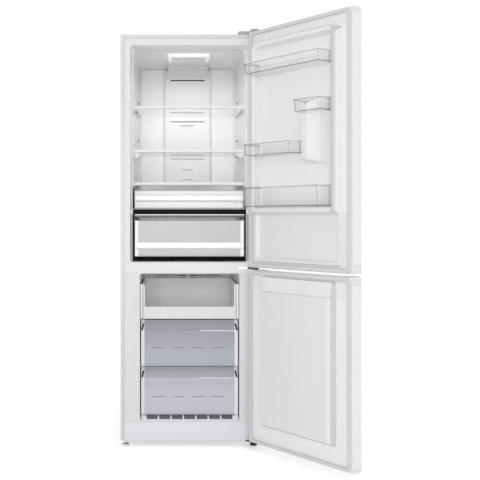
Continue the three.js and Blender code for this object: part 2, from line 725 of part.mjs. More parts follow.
function compressor() {
  const { x, y, halfX, halfY, height, round, footOver, footHalf, studShift, relayOut } = COMPRESSOR;
  const z = CABINET_BASE + BASE_SHEET + SEAT_GAP;
  const section = (share, h, r) => ({
    a0: x - halfX * share,
    a1: x + halfX * share,
    b0: y - halfY * share,
    b1: y + halfY * share,
    r: r * share,
    h: z + h,
  });
  const can = moulding(
    [
      section(0.62, 12, round),
      section(0.9, 22, round),
      section(1, 45, round),
      section(1, 88, round),
      section(1.04, 90, round),
      section(1.04, 98, round),
      section(0.97, 130, round),
      section(0.8, height - 10, round),
      section(0.45, height, round),
    ],
    upright,
  );
  const footX = halfX + footOver;
  const foot = box(x - footX, x + footX, y - footHalf, y + footHalf, z + 12, z + 16);
  const studs = [-1, 1].flatMap((i) =>
    [-1, 1].map((j) => {
      const at = [x + i * (halfX + 2), y + j * studShift];
      return rod(9, [...at, z], [...at, z + 18], 12);
    }),
  );
  const relay = box(x + halfX - 8, x + halfX + relayOut, y - 30, y + 30, z + 55, z + 125);
  const pipes = [-COMPRESSOR.pipeShift, COMPRESSOR.pipeShift].map((shift) =>
    rod(4, [x - halfX + 12, y + shift, z + 100], [x - halfX - 16, y + shift, z + 118], 8),
  );
  return join(can, foot, studs, relay, pipes);
}

const EVAPORATION_TRAY = { x0: 40, x1: 235, depth: 120, height: 42, toRear: 22 };

function evaporationTray() {
  const { x0, x1, depth, height, toRear } = EVAPORATION_TRAY;
  const z0 = CABINET_BASE + BASE_SHEET + SEAT_GAP;
  const y1 = CABINET_DEPTH - toRear;
  return bin({ x0, x1, y0: y1 - depth, y1, z0, z1: z0 + height, r: 12, wall: 2.5, draft: 3 });
}

const GLAND_RISE = 150; // above the cabinet's base
const GLAND_TO_REAR = 40;

// The rubber bush in the side of the compressor space where the mains lead would leave.
function cordGland() {
  const z = CABINET_BASE + GLAND_RISE;
  const y = CABINET_DEPTH - GLAND_TO_REAR;
  const x = INNER_HALF - 25 - SEAT_GAP;
  const bush = rod(9, [x, y, z], [x - 14, y, z], 16);
  const flange = rod(13, [x, y, z], [x - 4, y, z], 16);
  return cut(join(bush, flange), rod(4.5, [x + 1, y, z], [x - 15, y, z], 12));
}

// ---------- Hinges ----------

const TOP_PLATE_Z = UPPER_DOOR.top + 1.5;

// The round end of a hinge plate about its pin, from one side over the front to the other.
function noseArc() {
  return Array.from({ length: 7 }, (_, i) => {
    const angle = Math.PI * (1 + i / 6);
    return [PIN_X + HINGE_NOSE * Math.cos(angle), PIN_Y + HINGE_NOSE * Math.sin(angle)];
  });
}

function topHinge() {
  const shape = outline([
    [PIN_X - 62, 8],
    [PIN_X - HINGE_NOSE, 2],
    ...noseArc(),
    [PIN_X + HINGE_NOSE, 85],
    [PIN_X - 62, 85],
  ]);
  const plate = alongZ(shape, TOP_PLATE_Z, TOP_PLATE_Z + HINGE_PLATE);
  const seat = box(PIN_X - 60, PIN_X + 8, 10, 83, CABINET_TOP + SEAT_GAP, TOP_PLATE_Z + 1);
  const pinEnd = UPPER_DOOR.top - CAP_HEIGHT + 3;
  const pin = rod(PIN_RADIUS, [PIN_X, PIN_Y, pinEnd], [PIN_X, PIN_Y, TOP_PLATE_Z + 1]);
  const screws = [
    [PIN_X - 45, 60],
    [PIN_X - 10, 60],
    [PIN_X - 27, 30],
  ].map(([x, y]) => rod(5.5, [x, y, TOP_PLATE_Z + 1], [x, y, TOP_PLATE_Z + HINGE_PLATE + 2.5], 6));
  return join(plate, seat, pin, screws);
}

// A shallow plastic lid over the top hinge, open underneath.
function topHingeCover() {
  const z0 = CABINET_TOP + SEAT_GAP;
  const z1 = TOP_PLATE_Z + HINGE_PLATE + HINGE_COVER_HEIGHT;
  const noseBottom = UPPER_DOOR.top + SEAT_GAP;
  const wall = HINGE_COVER_WALL;
  const side = PIN_X + HINGE_NOSE + wall + SEAT_GAP;
  const rear = { a0: PIN_X - 72, a1: side, b0: 1, b1: 98, r: 10 };
  const nose = { a0: PIN_X - 24, a1: side, b0: PIN_Y - HINGE_NOSE - wall - 2, b1: 30, r: 14 };
  const edge = 4; // the bevel round the top
  const dome = (plan, by, bottom, top) =>
    moulding(
      [
        { ...grown(plan, by), h: bottom },
        { ...grown(plan, by), h: top - edge },
        { ...grown(plan, by - edge), h: top },
      ],
      upright,
    );
  const outside = join(dome(rear, 0, z0, z1), dome(nose, 0, noseBottom, z1));
  const below = z0 - 1;
  return cut(outside, dome(rear, -wall, below, z1 - wall), dome(nose, -wall, below, z1 - wall));
}

const MIDDLE_PLATE_Z = BEAM_MIDDLE - HINGE_PLATE / 2;

// Plate that lies between the doors, with a tab screwed to the beam and a pin up and down.
function middleHinge() {
  const front = -SEAT_GAP;
  const shape = outline([[PIN_X - 40, front], ...noseArc(), [PIN_X + HINGE_NOSE, front]]);
  const plate = alongZ(shape, MIDDLE_PLATE_Z, MIDDLE_PLATE_Z + HINGE_PLATE);
  const low = LOWER_DOOR.top + 1.2;
  const high = UPPER_DOOR.bottom - 1.2;
  const tab = box(PIN_X - 70, PIN_X + HINGE_NOSE, front - HINGE_PLATE, front, low, high);
  const reach = CAP_HEIGHT - 3;
  const pin = rod(
    PIN_RADIUS,
    [PIN_X, PIN_Y, LOWER_DOOR.top - reach],
    [PIN_X, PIN_Y, UPPER_DOOR.bottom + reach],
  );
  return join(plate, tab, pin);
}

const LOWER_PLATE_TOP = CABINET_BASE - SEAT_GAP;

// Plate screwed under the front panel: it runs forward below the lower door and carries the pin.
function lowerHinge() {
  const back = FOOT_SETBACK - FOOT_RADIUS - 2;
  const z0 = LOWER_PLATE_TOP - HINGE_PLATE;
  const shape = outline([
    [PIN_X - 42, back],
    [PIN_X - 42, -4],
    ...noseArc(),
    [PIN_X + HINGE_NOSE, back],
  ]);
  const plate = alongZ(shape, z0, LOWER_PLATE_TOP);
  const screws = [PIN_X - 34, PIN_X - 12].map((x) => rod(4, [x, 1, z0 - 2], [x, 1, z0 + 1], 6));
  const pin = rod(PIN_RADIUS, [PIN_X, PIN_Y, z0], [PIN_X, PIN_Y, LOWER_DOOR.bottom + CAP_HEIGHT - 3]);
  return join(plate, screws, pin);
}

// ---------- Fridge fittings ----------

const LAMP = { half: 95, y0: 152, y1: 300, below: 22, radius: 24, edge: 5, frame: 14, pocket: 7 };
const LAMP_BOTTOM = FRIDGE_CEILING - LAMP.below;
const LAMP_PLAN = { a0: -LAMP.half, a1: LAMP.half, b0: LAMP.y0, b1: LAMP.y1, r: LAMP.radius };

function lampHousing() {
  const body = moulding(
    [
      { ...grown(LAMP_PLAN, -LAMP.edge), h: LAMP_BOTTOM },
      { ...LAMP_PLAN, h: LAMP_BOTTOM + LAMP.edge },
      { ...LAMP_PLAN, h: FRIDGE_CEILING },
    ],
    upright,
  );
  const pocket = moulding(
    [
      { ...grown(LAMP_PLAN, -LAMP.frame), h: LAMP_BOTTOM - 1 },
      { ...grown(LAMP_PLAN, -LAMP.frame), h: LAMP_BOTTOM + LAMP.pocket },
    ],
    upright,
  );
  return cut(body.intersect(fridgeCavity(-SEAT_GAP)), pocket);
}

// The diffuser, with a bevelled edge that stands a little below its frame.
function lampLens() {
  const plan = grown(LAMP_PLAN, -LAMP.frame - SEAT_GAP);
  return moulding(
    [
      { ...grown(plan, -3), h: LAMP_BOTTOM - 1.5 },
      { ...plan, h: LAMP_BOTTOM + 1 },
      { ...plan, h: LAMP_BOTTOM + LAMP.pocket - SEAT_GAP },
    ],
    upright,
  );
}

const DUCT = {
  half: 114,
  depth: 14,
  bevel: 7,
  slotHalf: 83,
  slot: 5,
  overShelf: 8,
  drop: 32,
  slope: 86,
  slopeDrop: 68,
  slopeLip: 12,
};

// Air duct cover on the rear wall: bevelled sides, one outlet slot under each shelf, and a louvred
// slope at the top that runs out to the ceiling behind the lamp.
function rearDuctCover() {
  const back = FRIDGE_DEPTH - SEAT_GAP;
  const front = back - DUCT.depth;
  const plan = outline([
    [-DUCT.half, back],
    [-DUCT.half, front + DUCT.bevel],
    [-DUCT.half + DUCT.bevel, front],
    [DUCT.half - DUCT.bevel, front],
    [DUCT.half, front + DUCT.bevel],
    [DUCT.half, back],
  ]);
  const bottom = CHILLER_SHELF + DUCT.overShelf;
  const top = FRIDGE_CEILING - DUCT.drop;
  const panel = alongZ(plan, bottom, top);
  const slopeStart = front - DUCT.slope;
  const slopeTop = FRIDGE_CEILING - DUCT.slopeLip;
  const slopeBottom = FRIDGE_CEILING - DUCT.slopeDrop;
  const steps = 6;
  const slope = Array.from({ length: steps }, (_, i) => {
    const at = (share) => [
      slopeStart + (front - slopeStart) * share,
      slopeTop + (slopeBottom - slopeTop) * share,
    ];
    const [y, z] = at(i / steps);
    const [, below] = at((i + 1) / steps);
    return [
      [y, z],
      [y + 4, below + 1.5],
    ];
  }).flat();
  const louvres = alongX(
    outline([
      [slopeStart, FRIDGE_CEILING],
      ...slope,
      [front, slopeBottom],
      [back, slopeBottom],
      [back, FRIDGE_CEILING],
    ]),
    -LAMP.half,
    LAMP.half,
  );
  const slots = [UPPER_SHELF - 26, LOWER_SHELF - 14, FRIDGE_CEILING - 79].map((z) =>
    box(-DUCT.slotHalf, DUCT.slotHalf, front - 1, back - 4, z - DUCT.slot / 2, z + DUCT.slot / 2),
  );
  return cut(join(panel, louvres), slots).intersect(fridgeCavity(-SEAT_GAP));
}

// A pane whose trim starts at the given front.
function shelfGlass(top, trimFront) {
  const front = trimFront + TRIM_LIP + SEAT_GAP;
  const plan = roundedRectangle(-GLASS_HALF, GLASS_HALF, front, SHELF_BACK, PANE_RADIUS);
  return alongZ(plan, top - SHELF_GLASS, top);
}

// Front trim that grips the pane's edge: a bull-nosed strip with a groove behind.
function shelfTrim(top, half, front, below, above) {
  const z0 = top - SHELF_GLASS - below;
  const z1 = top + above;
  const lip = front + TRIM_DEPTH;
  const glassLow = top - SHELF_GLASS - SEAT_GAP;
  const glassHigh = top + SEAT_GAP;
  const shape = outline([
    [front, z0 + 2],
    [front + 2, z0],
    [lip, z0],
    [lip, glassLow],
    [front + TRIM_LIP, glassLow],
    [front + TRIM_LIP, glassHigh],
    [lip, glassHigh],
    [lip, Math.min(z1, glassHigh + 1.5)],
    [front + 5, z1],
    [front + 2, z1],
    [front, z1 - 2],
  ]);
  return alongX(shape, -half, half);
}

const TRIM_HALF = BODY_HALF - 3.5;

function shelfTrimPiece(top) {
  return shelfTrim(top, TRIM_HALF, SHELF_FRONT, TRIM_HEIGHT - SHELF_GLASS - 3, 3);
}

// The wide dark trim across the recess, in front of the crisper's cover.
function crisperCoverTrim() {
  const trim = shelfTrim(
    CRISPER_COVER,
    FRIDGE_HALF,
    COVER_FRONT,
    COVER_TRIM_BELOW - SHELF_GLASS,
    COVER_TRIM_ABOVE,
  );
  return trim.intersect(fridgeCavity(-SEAT_GAP));
}

const SURROUND_HALF = BODY_HALF - SURROUND_LEDGE; // clear width that the drawers pass through
const SURROUND_TOP = CHILLER_SHELF - 22;

// Dark U-shaped frame on the step of the liner, around both drawers.
function drawerSurround() {
  const y1 = RECESS_DEPTH - SEAT_GAP;
  const outer = FRIDGE_HALF + 1;
  const clearBottom = CRISPER_BOTTOM - 5;
  const frame = box(-outer, outer, y1 - SURROUND_DEPTH, y1, FRIDGE_FLOOR - 1, SURROUND_TOP);
  const way = alongY(
    roundedRectangle(-SURROUND_HALF, SURROUND_HALF, clearBottom, SURROUND_TOP + 40, 12),
    y1 - SURROUND_DEPTH - 1,
    y1 + 1,
  );
  return cut(frame, way).intersect(fridgeCavity(-SEAT_GAP));
}

// ---------- Fridge drawers ----------

const CHILLER_HALF = SURROUND_HALF - CHILLER_GAP;
const CRISPER_HALF = SURROUND_HALF - CRISPER_GAP;

function chillerTray() {
  return bin({
    x0: -BIN_HALF,
    x1: BIN_HALF,
    y0: CHILLER_FRONT + FRONT_PLATE + SEAT_GAP,
    y1: FRIDGE_DEPTH - CHILLER_TO_REAR,
    z0: CHILLER_BOTTOM,
    z1: CHILLER_BOTTOM + CHILLER_HEIGHT - 8,
    r: 12,
    wall: BIN_WALL,
    draft: CHILLER_DRAFT,
  });
}

// A drawer front drawn in Y and Z: bowed face, a grip lip that stands proud, and a hollow below it.
function drawerFront(half, front, z0, z1, lipTop, lipBottom) {
  const back = front + FRONT_PLATE;
  const shape = outline([
    [back, z0],
    [front + 2, z0],
    [front + 1, (z0 + lipBottom) / 2],
    [front + 3, lipBottom - 2],
    [front - 4, lipBottom + 1],
    [front - 5, (lipBottom + lipTop) / 2],
    [front - 4, lipTop - 1],
    [front + 2, lipTop + 1],
    [front + 3, z1 - 2],
    [front + 5, z1],
    [back, z1],
  ]);
  return alongX(shape, -half, half);
}

function chillerFront() {
  const z1 = CHILLER_BOTTOM + CHILLER_HEIGHT;
  return drawerFront(CHILLER_HALF, CHILLER_FRONT, CHILLER_BOTTOM, z1, z1 - 20, z1 - 46);
}

function crisperBin() {
  return bin({
    x0: -BIN_HALF,
    x1: BIN_HALF,
    y0: CRISPER_FRONT + FRONT_PLATE + SEAT_GAP,
    y1: FRIDGE_DEPTH - CRISPER_TO_REAR,
    z0: CRISPER_BOTTOM,
    z1: CRISPER_BOTTOM + CRISPER_HEIGHT - 4,
    r: 16,
    wall: BIN_WALL,
    draft: CRISPER_DRAFT,
  });
}

function crisperFront() {
  const z0 = CRISPER_BOTTOM - 3;
  const z1 = CRISPER_BOTTOM + CRISPER_HEIGHT - 14;
  return drawerFront(CRISPER_HALF, CRISPER_FRONT, z0, z1, z0 + 62, z0 + 34);
}

// ---------- Freezer fittings ----------

const REAR_COVER_Y = FREEZER_DRAWER_FRONT + UPPER_DRAWER_DEPTH + 12;
const REAR_COVER = 3;
const COVER_RIB = { rise: 40, height: 6, out: 3 };
const FAN_BOSS = { radius: 11, length: 12 };
const FAN_SHAFT = { radius: 3, length: 34 };
const FAN_RADIUS = 40;
const FAN_Z = FREEZER_CEILING - 52;
const LOUVRE = { half: 34, height: 5, pitchX: 80, pitchZ: 12, drop: 26, returnRise: 16 };

function freezerRearCover() {
  const z0 = FREEZER_FLOOR + FREEZER_STEP_HEIGHT + 2;
  const half = FREEZER_HALF;
  const sheet = box(-half, half, REAR_COVER_Y, REAR_COVER_Y + REAR_COVER, z0, FREEZER_CEILING);
  const ribZ = z0 + COVER_RIB.rise;
  const ribY = REAR_COVER_Y - COVER_RIB.out;
  const rib = box(-half, half, ribY, REAR_COVER_Y + 1, ribZ, ribZ + COVER_RIB.height);
  const columns = [-1.5, -0.5, 0.5, 1.5].map((step) => step * LOUVRE.pitchX);
  const louvre = (x, z) =>
    box(x - LOUVRE.half, x + LOUVRE.half, REAR_COVER_Y - 5, REAR_COVER_Y + 5, z, z + LOUVRE.height);
  const slots = columns.flatMap((x) =>
    [0, 1, 2].map((row) => louvre(x, FREEZER_CEILING - LOUVRE.drop - row * LOUVRE.pitchZ)),
  );
  const returns = columns.map((x) => louvre(x, z0 + LOUVRE.returnRise));
  const stub = ({ radius, length }, sides) =>
    rod(radius, [0, REAR_COVER_Y + 1, FAN_Z], [0, REAR_COVER_Y + length, FAN_Z], sides);
  const cover = cut(join(sheet, rib), slots, returns);
  return join(cover.intersect(freezerCavity(-SEAT_GAP)), stub(FAN_BOSS, 16), stub(FAN_SHAFT, 12));
}

// Finned coil behind the rear cover.
const COIL = { depth: 48, fins: 10, fin: 1.6, tube: 4, rows: [0.3, 0.7], bend: 8, toSide: 40 };

function evaporator() {
  const y1 = FREEZER_DEPTH - SEAT_GAP;
  const y0 = y1 - COIL.depth;
  const z0 = FREEZER_FLOOR + FREEZER_STEP_HEIGHT + 40;
  const z1 = FAN_Z - FAN_RADIUS - 22;
  const half = FREEZER_HALF - COIL.toSide;
  const fins = Array.from({ length: COIL.fins }, (_, i) => {
    const x = -half + (2 * half * i) / (COIL.fins - 1);
    return box(x - COIL.fin / 2, x + COIL.fin / 2, y0, y1, z0, z1);
  });
  const tubes = COIL.rows.map((share) => {
    const at = [(y0 + y1) / 2, z0 + (z1 - z0) * share];
    return rod(COIL.tube, [-half - COIL.bend, ...at], [half + COIL.bend, ...at], 6);
  });
  return join(fins, tubes);
}

function evaporatorFan() {
  const y0 = REAR_COVER_Y + FAN_BOSS.length + SEAT_GAP;
  const hub = rod(14, [0, y0, FAN_Z], [0, y0 + 18, FAN_Z], 20);
  const blades = Array.from({ length: 5 }, (_, i) => {
    const blade = new THREE.BoxGeometry(22, 1.8, FAN_RADIUS - 10);
    blade.rotateZ(0.6);
    blade.translate(0, 0, (FAN_RADIUS + 10) / 2);
    blade.rotateY((i / 5) * 2 * Math.PI);
    blade.translate(0, y0 + 9, FAN_Z);
    return solidOf(blade);
  });
  const bore = rod(FAN_SHAFT.radius + PIN_CLEARANCE, [0, y0 - 1, FAN_Z], [0, y0 + 19, FAN_Z], 12);
  return cut(join(hub, blades), bore);
}

const SILL = { depth: 30, height: 19, ribs: 8, pitch: 54, toSide: 4 };

// Ribbed sill in front of the lowest drawer.
function sillGrille() {
  const half = FREEZER_HALF - SILL.toSide;
  const y0 = SILL_FRONT;
  const z0 = FREEZER_FLOOR + SEAT_GAP;
  const shape = outline([
    [y0, z0],
    [y0 + SILL.depth, z0],
    [y0 + SILL.depth, z0 + SILL.height],
    [y0 + SILL.depth - 4, z0 + SILL.height],
    [y0 + 8, z0 + 6],
    [y0, z0 + 5],
  ]);
  const slope = alongX(shape, -half, half);
  const ribs = Array.from({ length: SILL.ribs }, (_, i) => {
    const x = (i - (SILL.ribs - 1) / 2) * SILL.pitch;
    const profile = outline([
      [y0 + 6, z0 + 4],
      [y0 + 12, z0 + SILL.height - 3],
      [y0 + SILL.depth - 4, z0 + SILL.height],
      [y0 + SILL.depth - 4, z0 + 4],
    ]);
    return alongX(profile, x - 3, x + 3);
  });
  return join(slope, ribs).intersect(freezerCavity(-SEAT_GAP));
}

// The upper tray: high sides and back, with a low lip at the front between two posts.
function freezerTopTray() {
  const y0 = FREEZER_DRAWER_FRONT;
  const y1 = y0 + UPPER_DRAWER_DEPTH;
  const z0 = TRAY_BOTTOM;
  const z1 = z0 + TRAY_HEIGHT;
  const half = FREEZER_BIN_HALF;
  const body = bin({ x0: -half, x1: half, y0, y1, z0, z1, r: 8, wall: BIN_WALL, draft: 1 });
  const mouthHalf = half - TRAY_POST;
  const mouth = alongY(
    outline([
      [-mouthHalf + 5, z0 + TRAY_LIP],
      [mouthHalf - 5, z0 + TRAY_LIP],
      [mouthHalf, z0 + TRAY_LIP + 5],
      [mouthHalf, z1 - 10],
      [mouthHalf + 6, z1 + 1],
      [-mouthHalf - 6, z1 + 1],
      [-mouthHalf, z1 - 10],
      [-mouthHalf, z0 + TRAY_LIP + 5],
    ]),
    y0 - 1,
    y0 + BIN_WALL + 2,
  );
  return cut(body, mouth);
}

const BIN_BELOW_FRONT = 22; // the bin's rim below the top of its front

function freezerDrawerBin(z0, height, depth) {
  const half = FREEZER_BIN_HALF;
  return bin({
    x0: -half,
    x1: half,
    y0: FREEZER_DRAWER_FRONT + GRIP_SETBACK,
    y1: FREEZER_DRAWER_FRONT + depth,
    z0,
    z1: z0 + height - BIN_BELOW_FRONT,
    r: 10,
    wall: BIN_WALL,
    draft: FREEZER_DRAWER_DRAFT,
  });
}

// Freezer drawer front: a bowed face, then a grip zone that leans back to a top edge, which turns
// down against the bin behind it.
function freezerDrawerFront(z0, height) {
  const half = FREEZER_HALF - FREEZER_FRONT_GAP;
  const face = FREEZER_DRAWER_FRONT;
  const back = face + GRIP_SETBACK - SEAT_GAP;
  const ridge = face + GRIP_SETBACK - FRONT_PLATE;
  const z1 = z0 + height;
  const belly = z0 + (height - GRIP_LEAN) / 2;
  const wall = 4;
  const shape = outline([
    [face + 4, z0 - 1],
    [face, z0 + 8],
    [face - 2, belly],
    [face, z1 - GRIP_LEAN],
    [ridge, z1 - 4],
    [ridge, z1],
    [back, z1],
    [back, z1 - BIN_BELOW_FRONT - 10],
    [back - wall, z1 - BIN_BELOW_FRONT - 10],
    [back - wall, z1 - 6],
    [ridge + wall, z1 - 6],
    [face + wall + 2, z1 - GRIP_LEAN - 2],
    [face + wall - 1, belly],
    [face + wall + 2, z0 + 10],
    [back, z0 + 5],
    [back, z0 - 1],
  ]);
  return alongX(shape, -half, half);
}

// ---------- Doors, drawn shut ----------

// The door's plan outline, with rounded outer edges, shrunk by the given amount.
function doorPlan(shrink, inner = DOOR_INNER) {
  const half = HALF_WIDTH - shrink;
  const r = Math.max(1, DOOR_EDGE_RADIUS - shrink);
  const outer = DOOR_OUTER + shrink;
  const corner = (side) =>
    Array.from({ length: CORNER_STEPS + 1 }, (_, i) => {
      const angle = ((i / CORNER_STEPS) * Math.PI) / 2;
      return [side * (half - r + r * Math.cos(angle)), outer + r - r * Math.sin(angle)];
    });
  return [[half, inner], ...corner(1), ...corner(-1).reverse(), [-half, inner]];
}

function doorSkin({ bottom, top }, bottomCap, topCap) {
  const inner = DOOR_INNER - LINER_WALL - SEAT_GAP;
  const z0 = bottom + bottomCap + SEAT_GAP;
  const z1 = top - topCap - SEAT_GAP;
  const outside = alongZ(outline(doorPlan(0, inner)), z0, z1);
  const hollow = alongZ(outline(doorPlan(SHEET, inner - SHEET)), z0 - 1, z1 + 1);
  const mouth = HALF_WIDTH - DOOR_RETURN;
  return cut(outside, hollow, box(-mouth, mouth, inner - SHEET - 1, inner + 1, z0 - 1, z1 + 1));
}

// A raised rim of the upper door's liner, through a profile of [across, rise] points from its outer to
// its inner foot, shrunk by the given amount for the foam inside it.
function rim(profile, width, { side, low, high, radius, lowRadius }, shrink) {
  const least = 3; // radius left at the innermost corners
  const foot = -LINER_WALL - shrink / 2;
  const sections = [[0, foot], ...profile, [width, foot]].map(([across, rise]) => {
    const inset = across + Math.sign(width / 2 - across) * shrink;
    return {
      a0: inset - side,
      a1: side - inset,
      b0: low + inset,
      b1: high - inset,
      r: Math.max(least, radius - inset),
      lowR: Math.max(least, lowRadius - inset),
      h: DOOR_INNER + (rise > LINER_WALL + 1 ? rise - shrink : rise),
    };
  });
  return moulding(sections, inward, true);
}

const RACK_HINGE_X = HALF_WIDTH - DYKE_SIDE_INSET - DYKE_WIDTH - SEAT_GAP;
const RACK_FREE_X = -RACK_HINGE_X;
const BOTTLE_RACK_Z = CRISPER_COVER + COVER_TRIM_ABOVE + BOTTLE_RACK_GAP;
const HINGE_RACK_X = RACK_HINGE_X - HINGE_RACK_LENGTH; // free end of the rack on the hinge side
const HINGE_RACK_Z = UPPER_DOOR.bottom + HINGE_RACK_RISE;
const FREE_RACK_X = RACK_FREE_X + FREE_RACK_LENGTH; // hinge end of the rack on the free side
const FREE_RACK_Z = UPPER_DOOR.top - FREE_RACK_DROP;
const TOP_RACK_Z = UPPER_DOOR.top - TOP_RACK_DROP;

// Two rims: a high one that holds the racks and ends in the ledge under the bottle rack, and a
// shallow one round the field below it.
function upperRims(shrink) {
  const side = HALF_WIDTH - DYKE_SIDE_INSET;
  const ledge = BOTTLE_RACK_Z - SEAT_GAP - DYKE_WIDTH;
  const high = rim(
    [
      [0, 1],
      [7, DYKE_HEIGHT - 7],
      [14, DYKE_HEIGHT],
      [24, DYKE_HEIGHT],
      [29, DYKE_HEIGHT - 4],
      [DYKE_WIDTH - 1, 5],
      [DYKE_WIDTH, 1],
    ],
    DYKE_WIDTH,
    {
      side,
      low: ledge,
      high: UPPER_DOOR.top - DYKE_TOP_INSET,
      radius: DYKE_RADIUS,
      lowRadius: DYKE_LOW_RADIUS,
    },
    shrink,
  );
  const low = rim(
    [
      [0, 1],
      [5, LOW_RIM_HEIGHT],
      [LOW_RIM_WIDTH - 8, LOW_RIM_HEIGHT],
      [LOW_RIM_WIDTH - 2, 4],
      [LOW_RIM_WIDTH, 1],
    ],
    LOW_RIM_WIDTH,
    {
      side,
      low: UPPER_DOOR.bottom + LOW_RIM_INSET,
      high: ledge + LOW_RIM_WIDTH + 6,
      radius: DYKE_LOW_RADIUS,
      lowRadius: LOW_RIM_RADIUS,
    },
    shrink,
  );
  return join(high, low);
}

// The raised pad between the half-width racks, sloping away on the free side.
function rackPad(shrink) {
  const front = {
    a0: FREE_RACK_X - PAD_OVERLAP,
    a1: HINGE_RACK_X - 2,
    b0: HINGE_RACK_Z - 25,
    b1: FREE_RACK_Z + FREE_RACK_HEIGHT - 10,
    r: 12,
  };
  const foot = {
    a0: front.a0 - PAD_SLOPE,
    a1: front.a1 + 10,
    b0: front.b0 - 20,
    b1: front.b1 + 20,
    r: 16,
  };
  const at = (section, rise) => ({ ...grown(section, -shrink), h: DOOR_INNER + rise });
  return moulding(
    [
      at(foot, -LINER_WALL - Math.abs(shrink) / 2),
      at(foot, 0),
      at(front, PAD_HEIGHT - 5 - shrink),
      at(grown(front, -5), PAD_HEIGHT - shrink),
    ],
    inward,
  );
}

// The raised field of the lower door's liner, which stands in the freezer's mouth when the door is
// shut: steep at the sides, a long slope at the top.
function plug(shrink) {
  const side = FREEZER_HALF - PLUG_CLEARANCE;
  const low = FREEZER_FLOOR + PLUG_CLEARANCE;
  const high = FREEZER_CEILING - PLUG_CLEARANCE;
  const section = (sideIn, lowIn, highIn, rise) => ({
    a0: -side + sideIn + shrink,
    a1: side - sideIn - shrink,
    b0: low + lowIn + shrink,
    b1: high - highIn - shrink,
    r: 14,
    h: DOOR_INNER + rise,
  });
  return moulding(
    [
      section(0, 0, 0, -LINER_WALL - shrink / 2),
      section(0, 0, 0, 0),
      section(2, 2, 4, PLUG_HEIGHT / 2 - shrink / 2),
      section(6, 8, 62, PLUG_HEIGHT - shrink),
    ],
    inward,
  );
}

// Thermoformed liner: a sheet over the whole inner face, raised where `form` is.
function doorLiner({ bottom, top }, form) {
  const edge = 0.5;
  const half = HALF_WIDTH - edge;
  const sheet = box(-half, half, DOOR_INNER - LINER_WALL, DOOR_INNER, bottom + edge, top - edge);
  const hollow = form(LINER_WALL);
  return cut(join(sheet, form(0)), hollow);
}

function doorFoam({ bottom, top }, bottomCap, topCap, form) {
  const skinInner = DOOR_INNER - LINER_WALL - SEAT_GAP - SHEET;
  const z0 = bottom + bottomCap + SEAT_GAP;
  const z1 = top - topCap - SEAT_GAP;
  const core = alongZ(outline(doorPlan(SHEET + SEAT_GAP, skinInner - SEAT_GAP)), z0, z1);
  const half = HALF_WIDTH - DOOR_RETURN - SEAT_GAP;
  const raised = box(-half, half, skinInner - 2, DOOR_INNER - LINER_WALL - SEAT_GAP, z0, z1);
  const behind = DOOR_INNER - LINER_WALL;
  const caps = [
    box(-HALF_WIDTH, HALF_WIDTH, DOOR_OUTER, behind, bottom, z0),
    box(-HALF_WIDTH, HALF_WIDTH, DOOR_OUTER, behind, z1, top),
  ];
  return cut(join(core, raised, form(LINER_WALL + SEAT_GAP)), caps);
}

function pinHole(z0, z1) {
  return rod(PIN_RADIUS + PIN_CLEARANCE, [PIN_X, PIN_Y, z0], [PIN_X, PIN_Y, z1]);
}

// Plastic end cap: plain, or with a finger hollow along its outer lower or upper edge.
function doorCap(z0, z1, gripSide) {
  const inner = DOOR_INNER - LINER_WALL - SEAT_GAP;
  const cap = alongZ(outline(doorPlan(0, inner)), z0, z1);
  const holes = [pinHole(z0 - 1, z1 + 1)];
  if (gripSide) {
    const edge = gripSide < 0 ? z0 : z1;
    const y = DOOR_OUTER + 16;
    holes.push(rod(GRIP_RADIUS, [60 - HALF_WIDTH, y, edge], [HALF_WIDTH - 60, y, edge], 20));
  }
  return cut(cap, holes);
}

// Collar that carries the door on a hinge plate.
function collar(z0, z1) {
  return cut(rod(COLLAR_RADIUS, [PIN_X, PIN_Y, z0], [PIN_X, PIN_Y, z1]), pinHole(z0 - 1, z1 + 1));
}

// Magnetic gasket: a hollow-backed ring, pinched between its foot and its sealing face.
function gasket({ bottom, top }) {
  const depth = DOOR_TO_CABINET - GASKET_TO_CABINET;
  const profile = [
    [0, SEAT_GAP],
    [0, 2],
    [2, depth * 0.45],
    [0, depth - 2],
    [1, depth],
    [GASKET_WIDTH - 1, depth],
    [GASKET_WIDTH, depth - 2],
    [GASKET_WIDTH - 2, depth * 0.45],
    [GASKET_WIDTH, 2],
    [GASKET_WIDTH, SEAT_GAP],
  ];
  const sections = profile.map(([across, rise]) => ({
    a0: -HALF_WIDTH + GASKET_INSET + across,
    a1: HALF_WIDTH - GASKET_HINGE_INSET - across,
    b0: bottom + GASKET_INSET + across,
    b1: top - GASKET_INSET - across,
    r: 20 - across,
    h: DOOR_INNER + rise,
  }));
  return moulding(sections, inward, true);
}

// ---------- Door racks, drawn with the door shut ----------

// A moulded rack against the door's liner: a bin whose front leans out, with a bead round its rim. It
// is stepped round the pad behind it.
function rack(x0, x1, z0, height, reach) {
  const y0 = DOOR_INNER + SEAT_GAP;
  const z1 = z0 + height;
  const base = { a0: x0 + 2, a1: x1 - 2, b0: y0, b1: DOOR_INNER + reach - 7, r: 10 };
  const rim = { a0: x0, a1: x1, b0: y0, b1: DOOR_INNER + reach, r: 12 };
  const inside = (section) => grown(section, -RACK_WALL);
  const outer = moulding(
    [
      { ...grown(base, -2), h: z0 },
      { ...base, h: z0 + 2 },
      { ...grown(rim, -1.5), h: z1 - 6 },
      { ...rim, h: z1 - 5 },
      { ...rim, h: z1 },
    ],
    upright,
  );
  const hollow = moulding(
    [
      { ...inside(base), h: z0 + RACK_WALL },
      { ...inside(rim), h: z1 },
      { ...inside(rim), h: z1 + 1 },
    ],
    upright,
  );
  return cut(cut(outer, rackPad(-SEAT_GAP)), cut(hollow, rackPad(-SEAT_GAP - RACK_WALL)));
}

// ---------- Assembly ----------

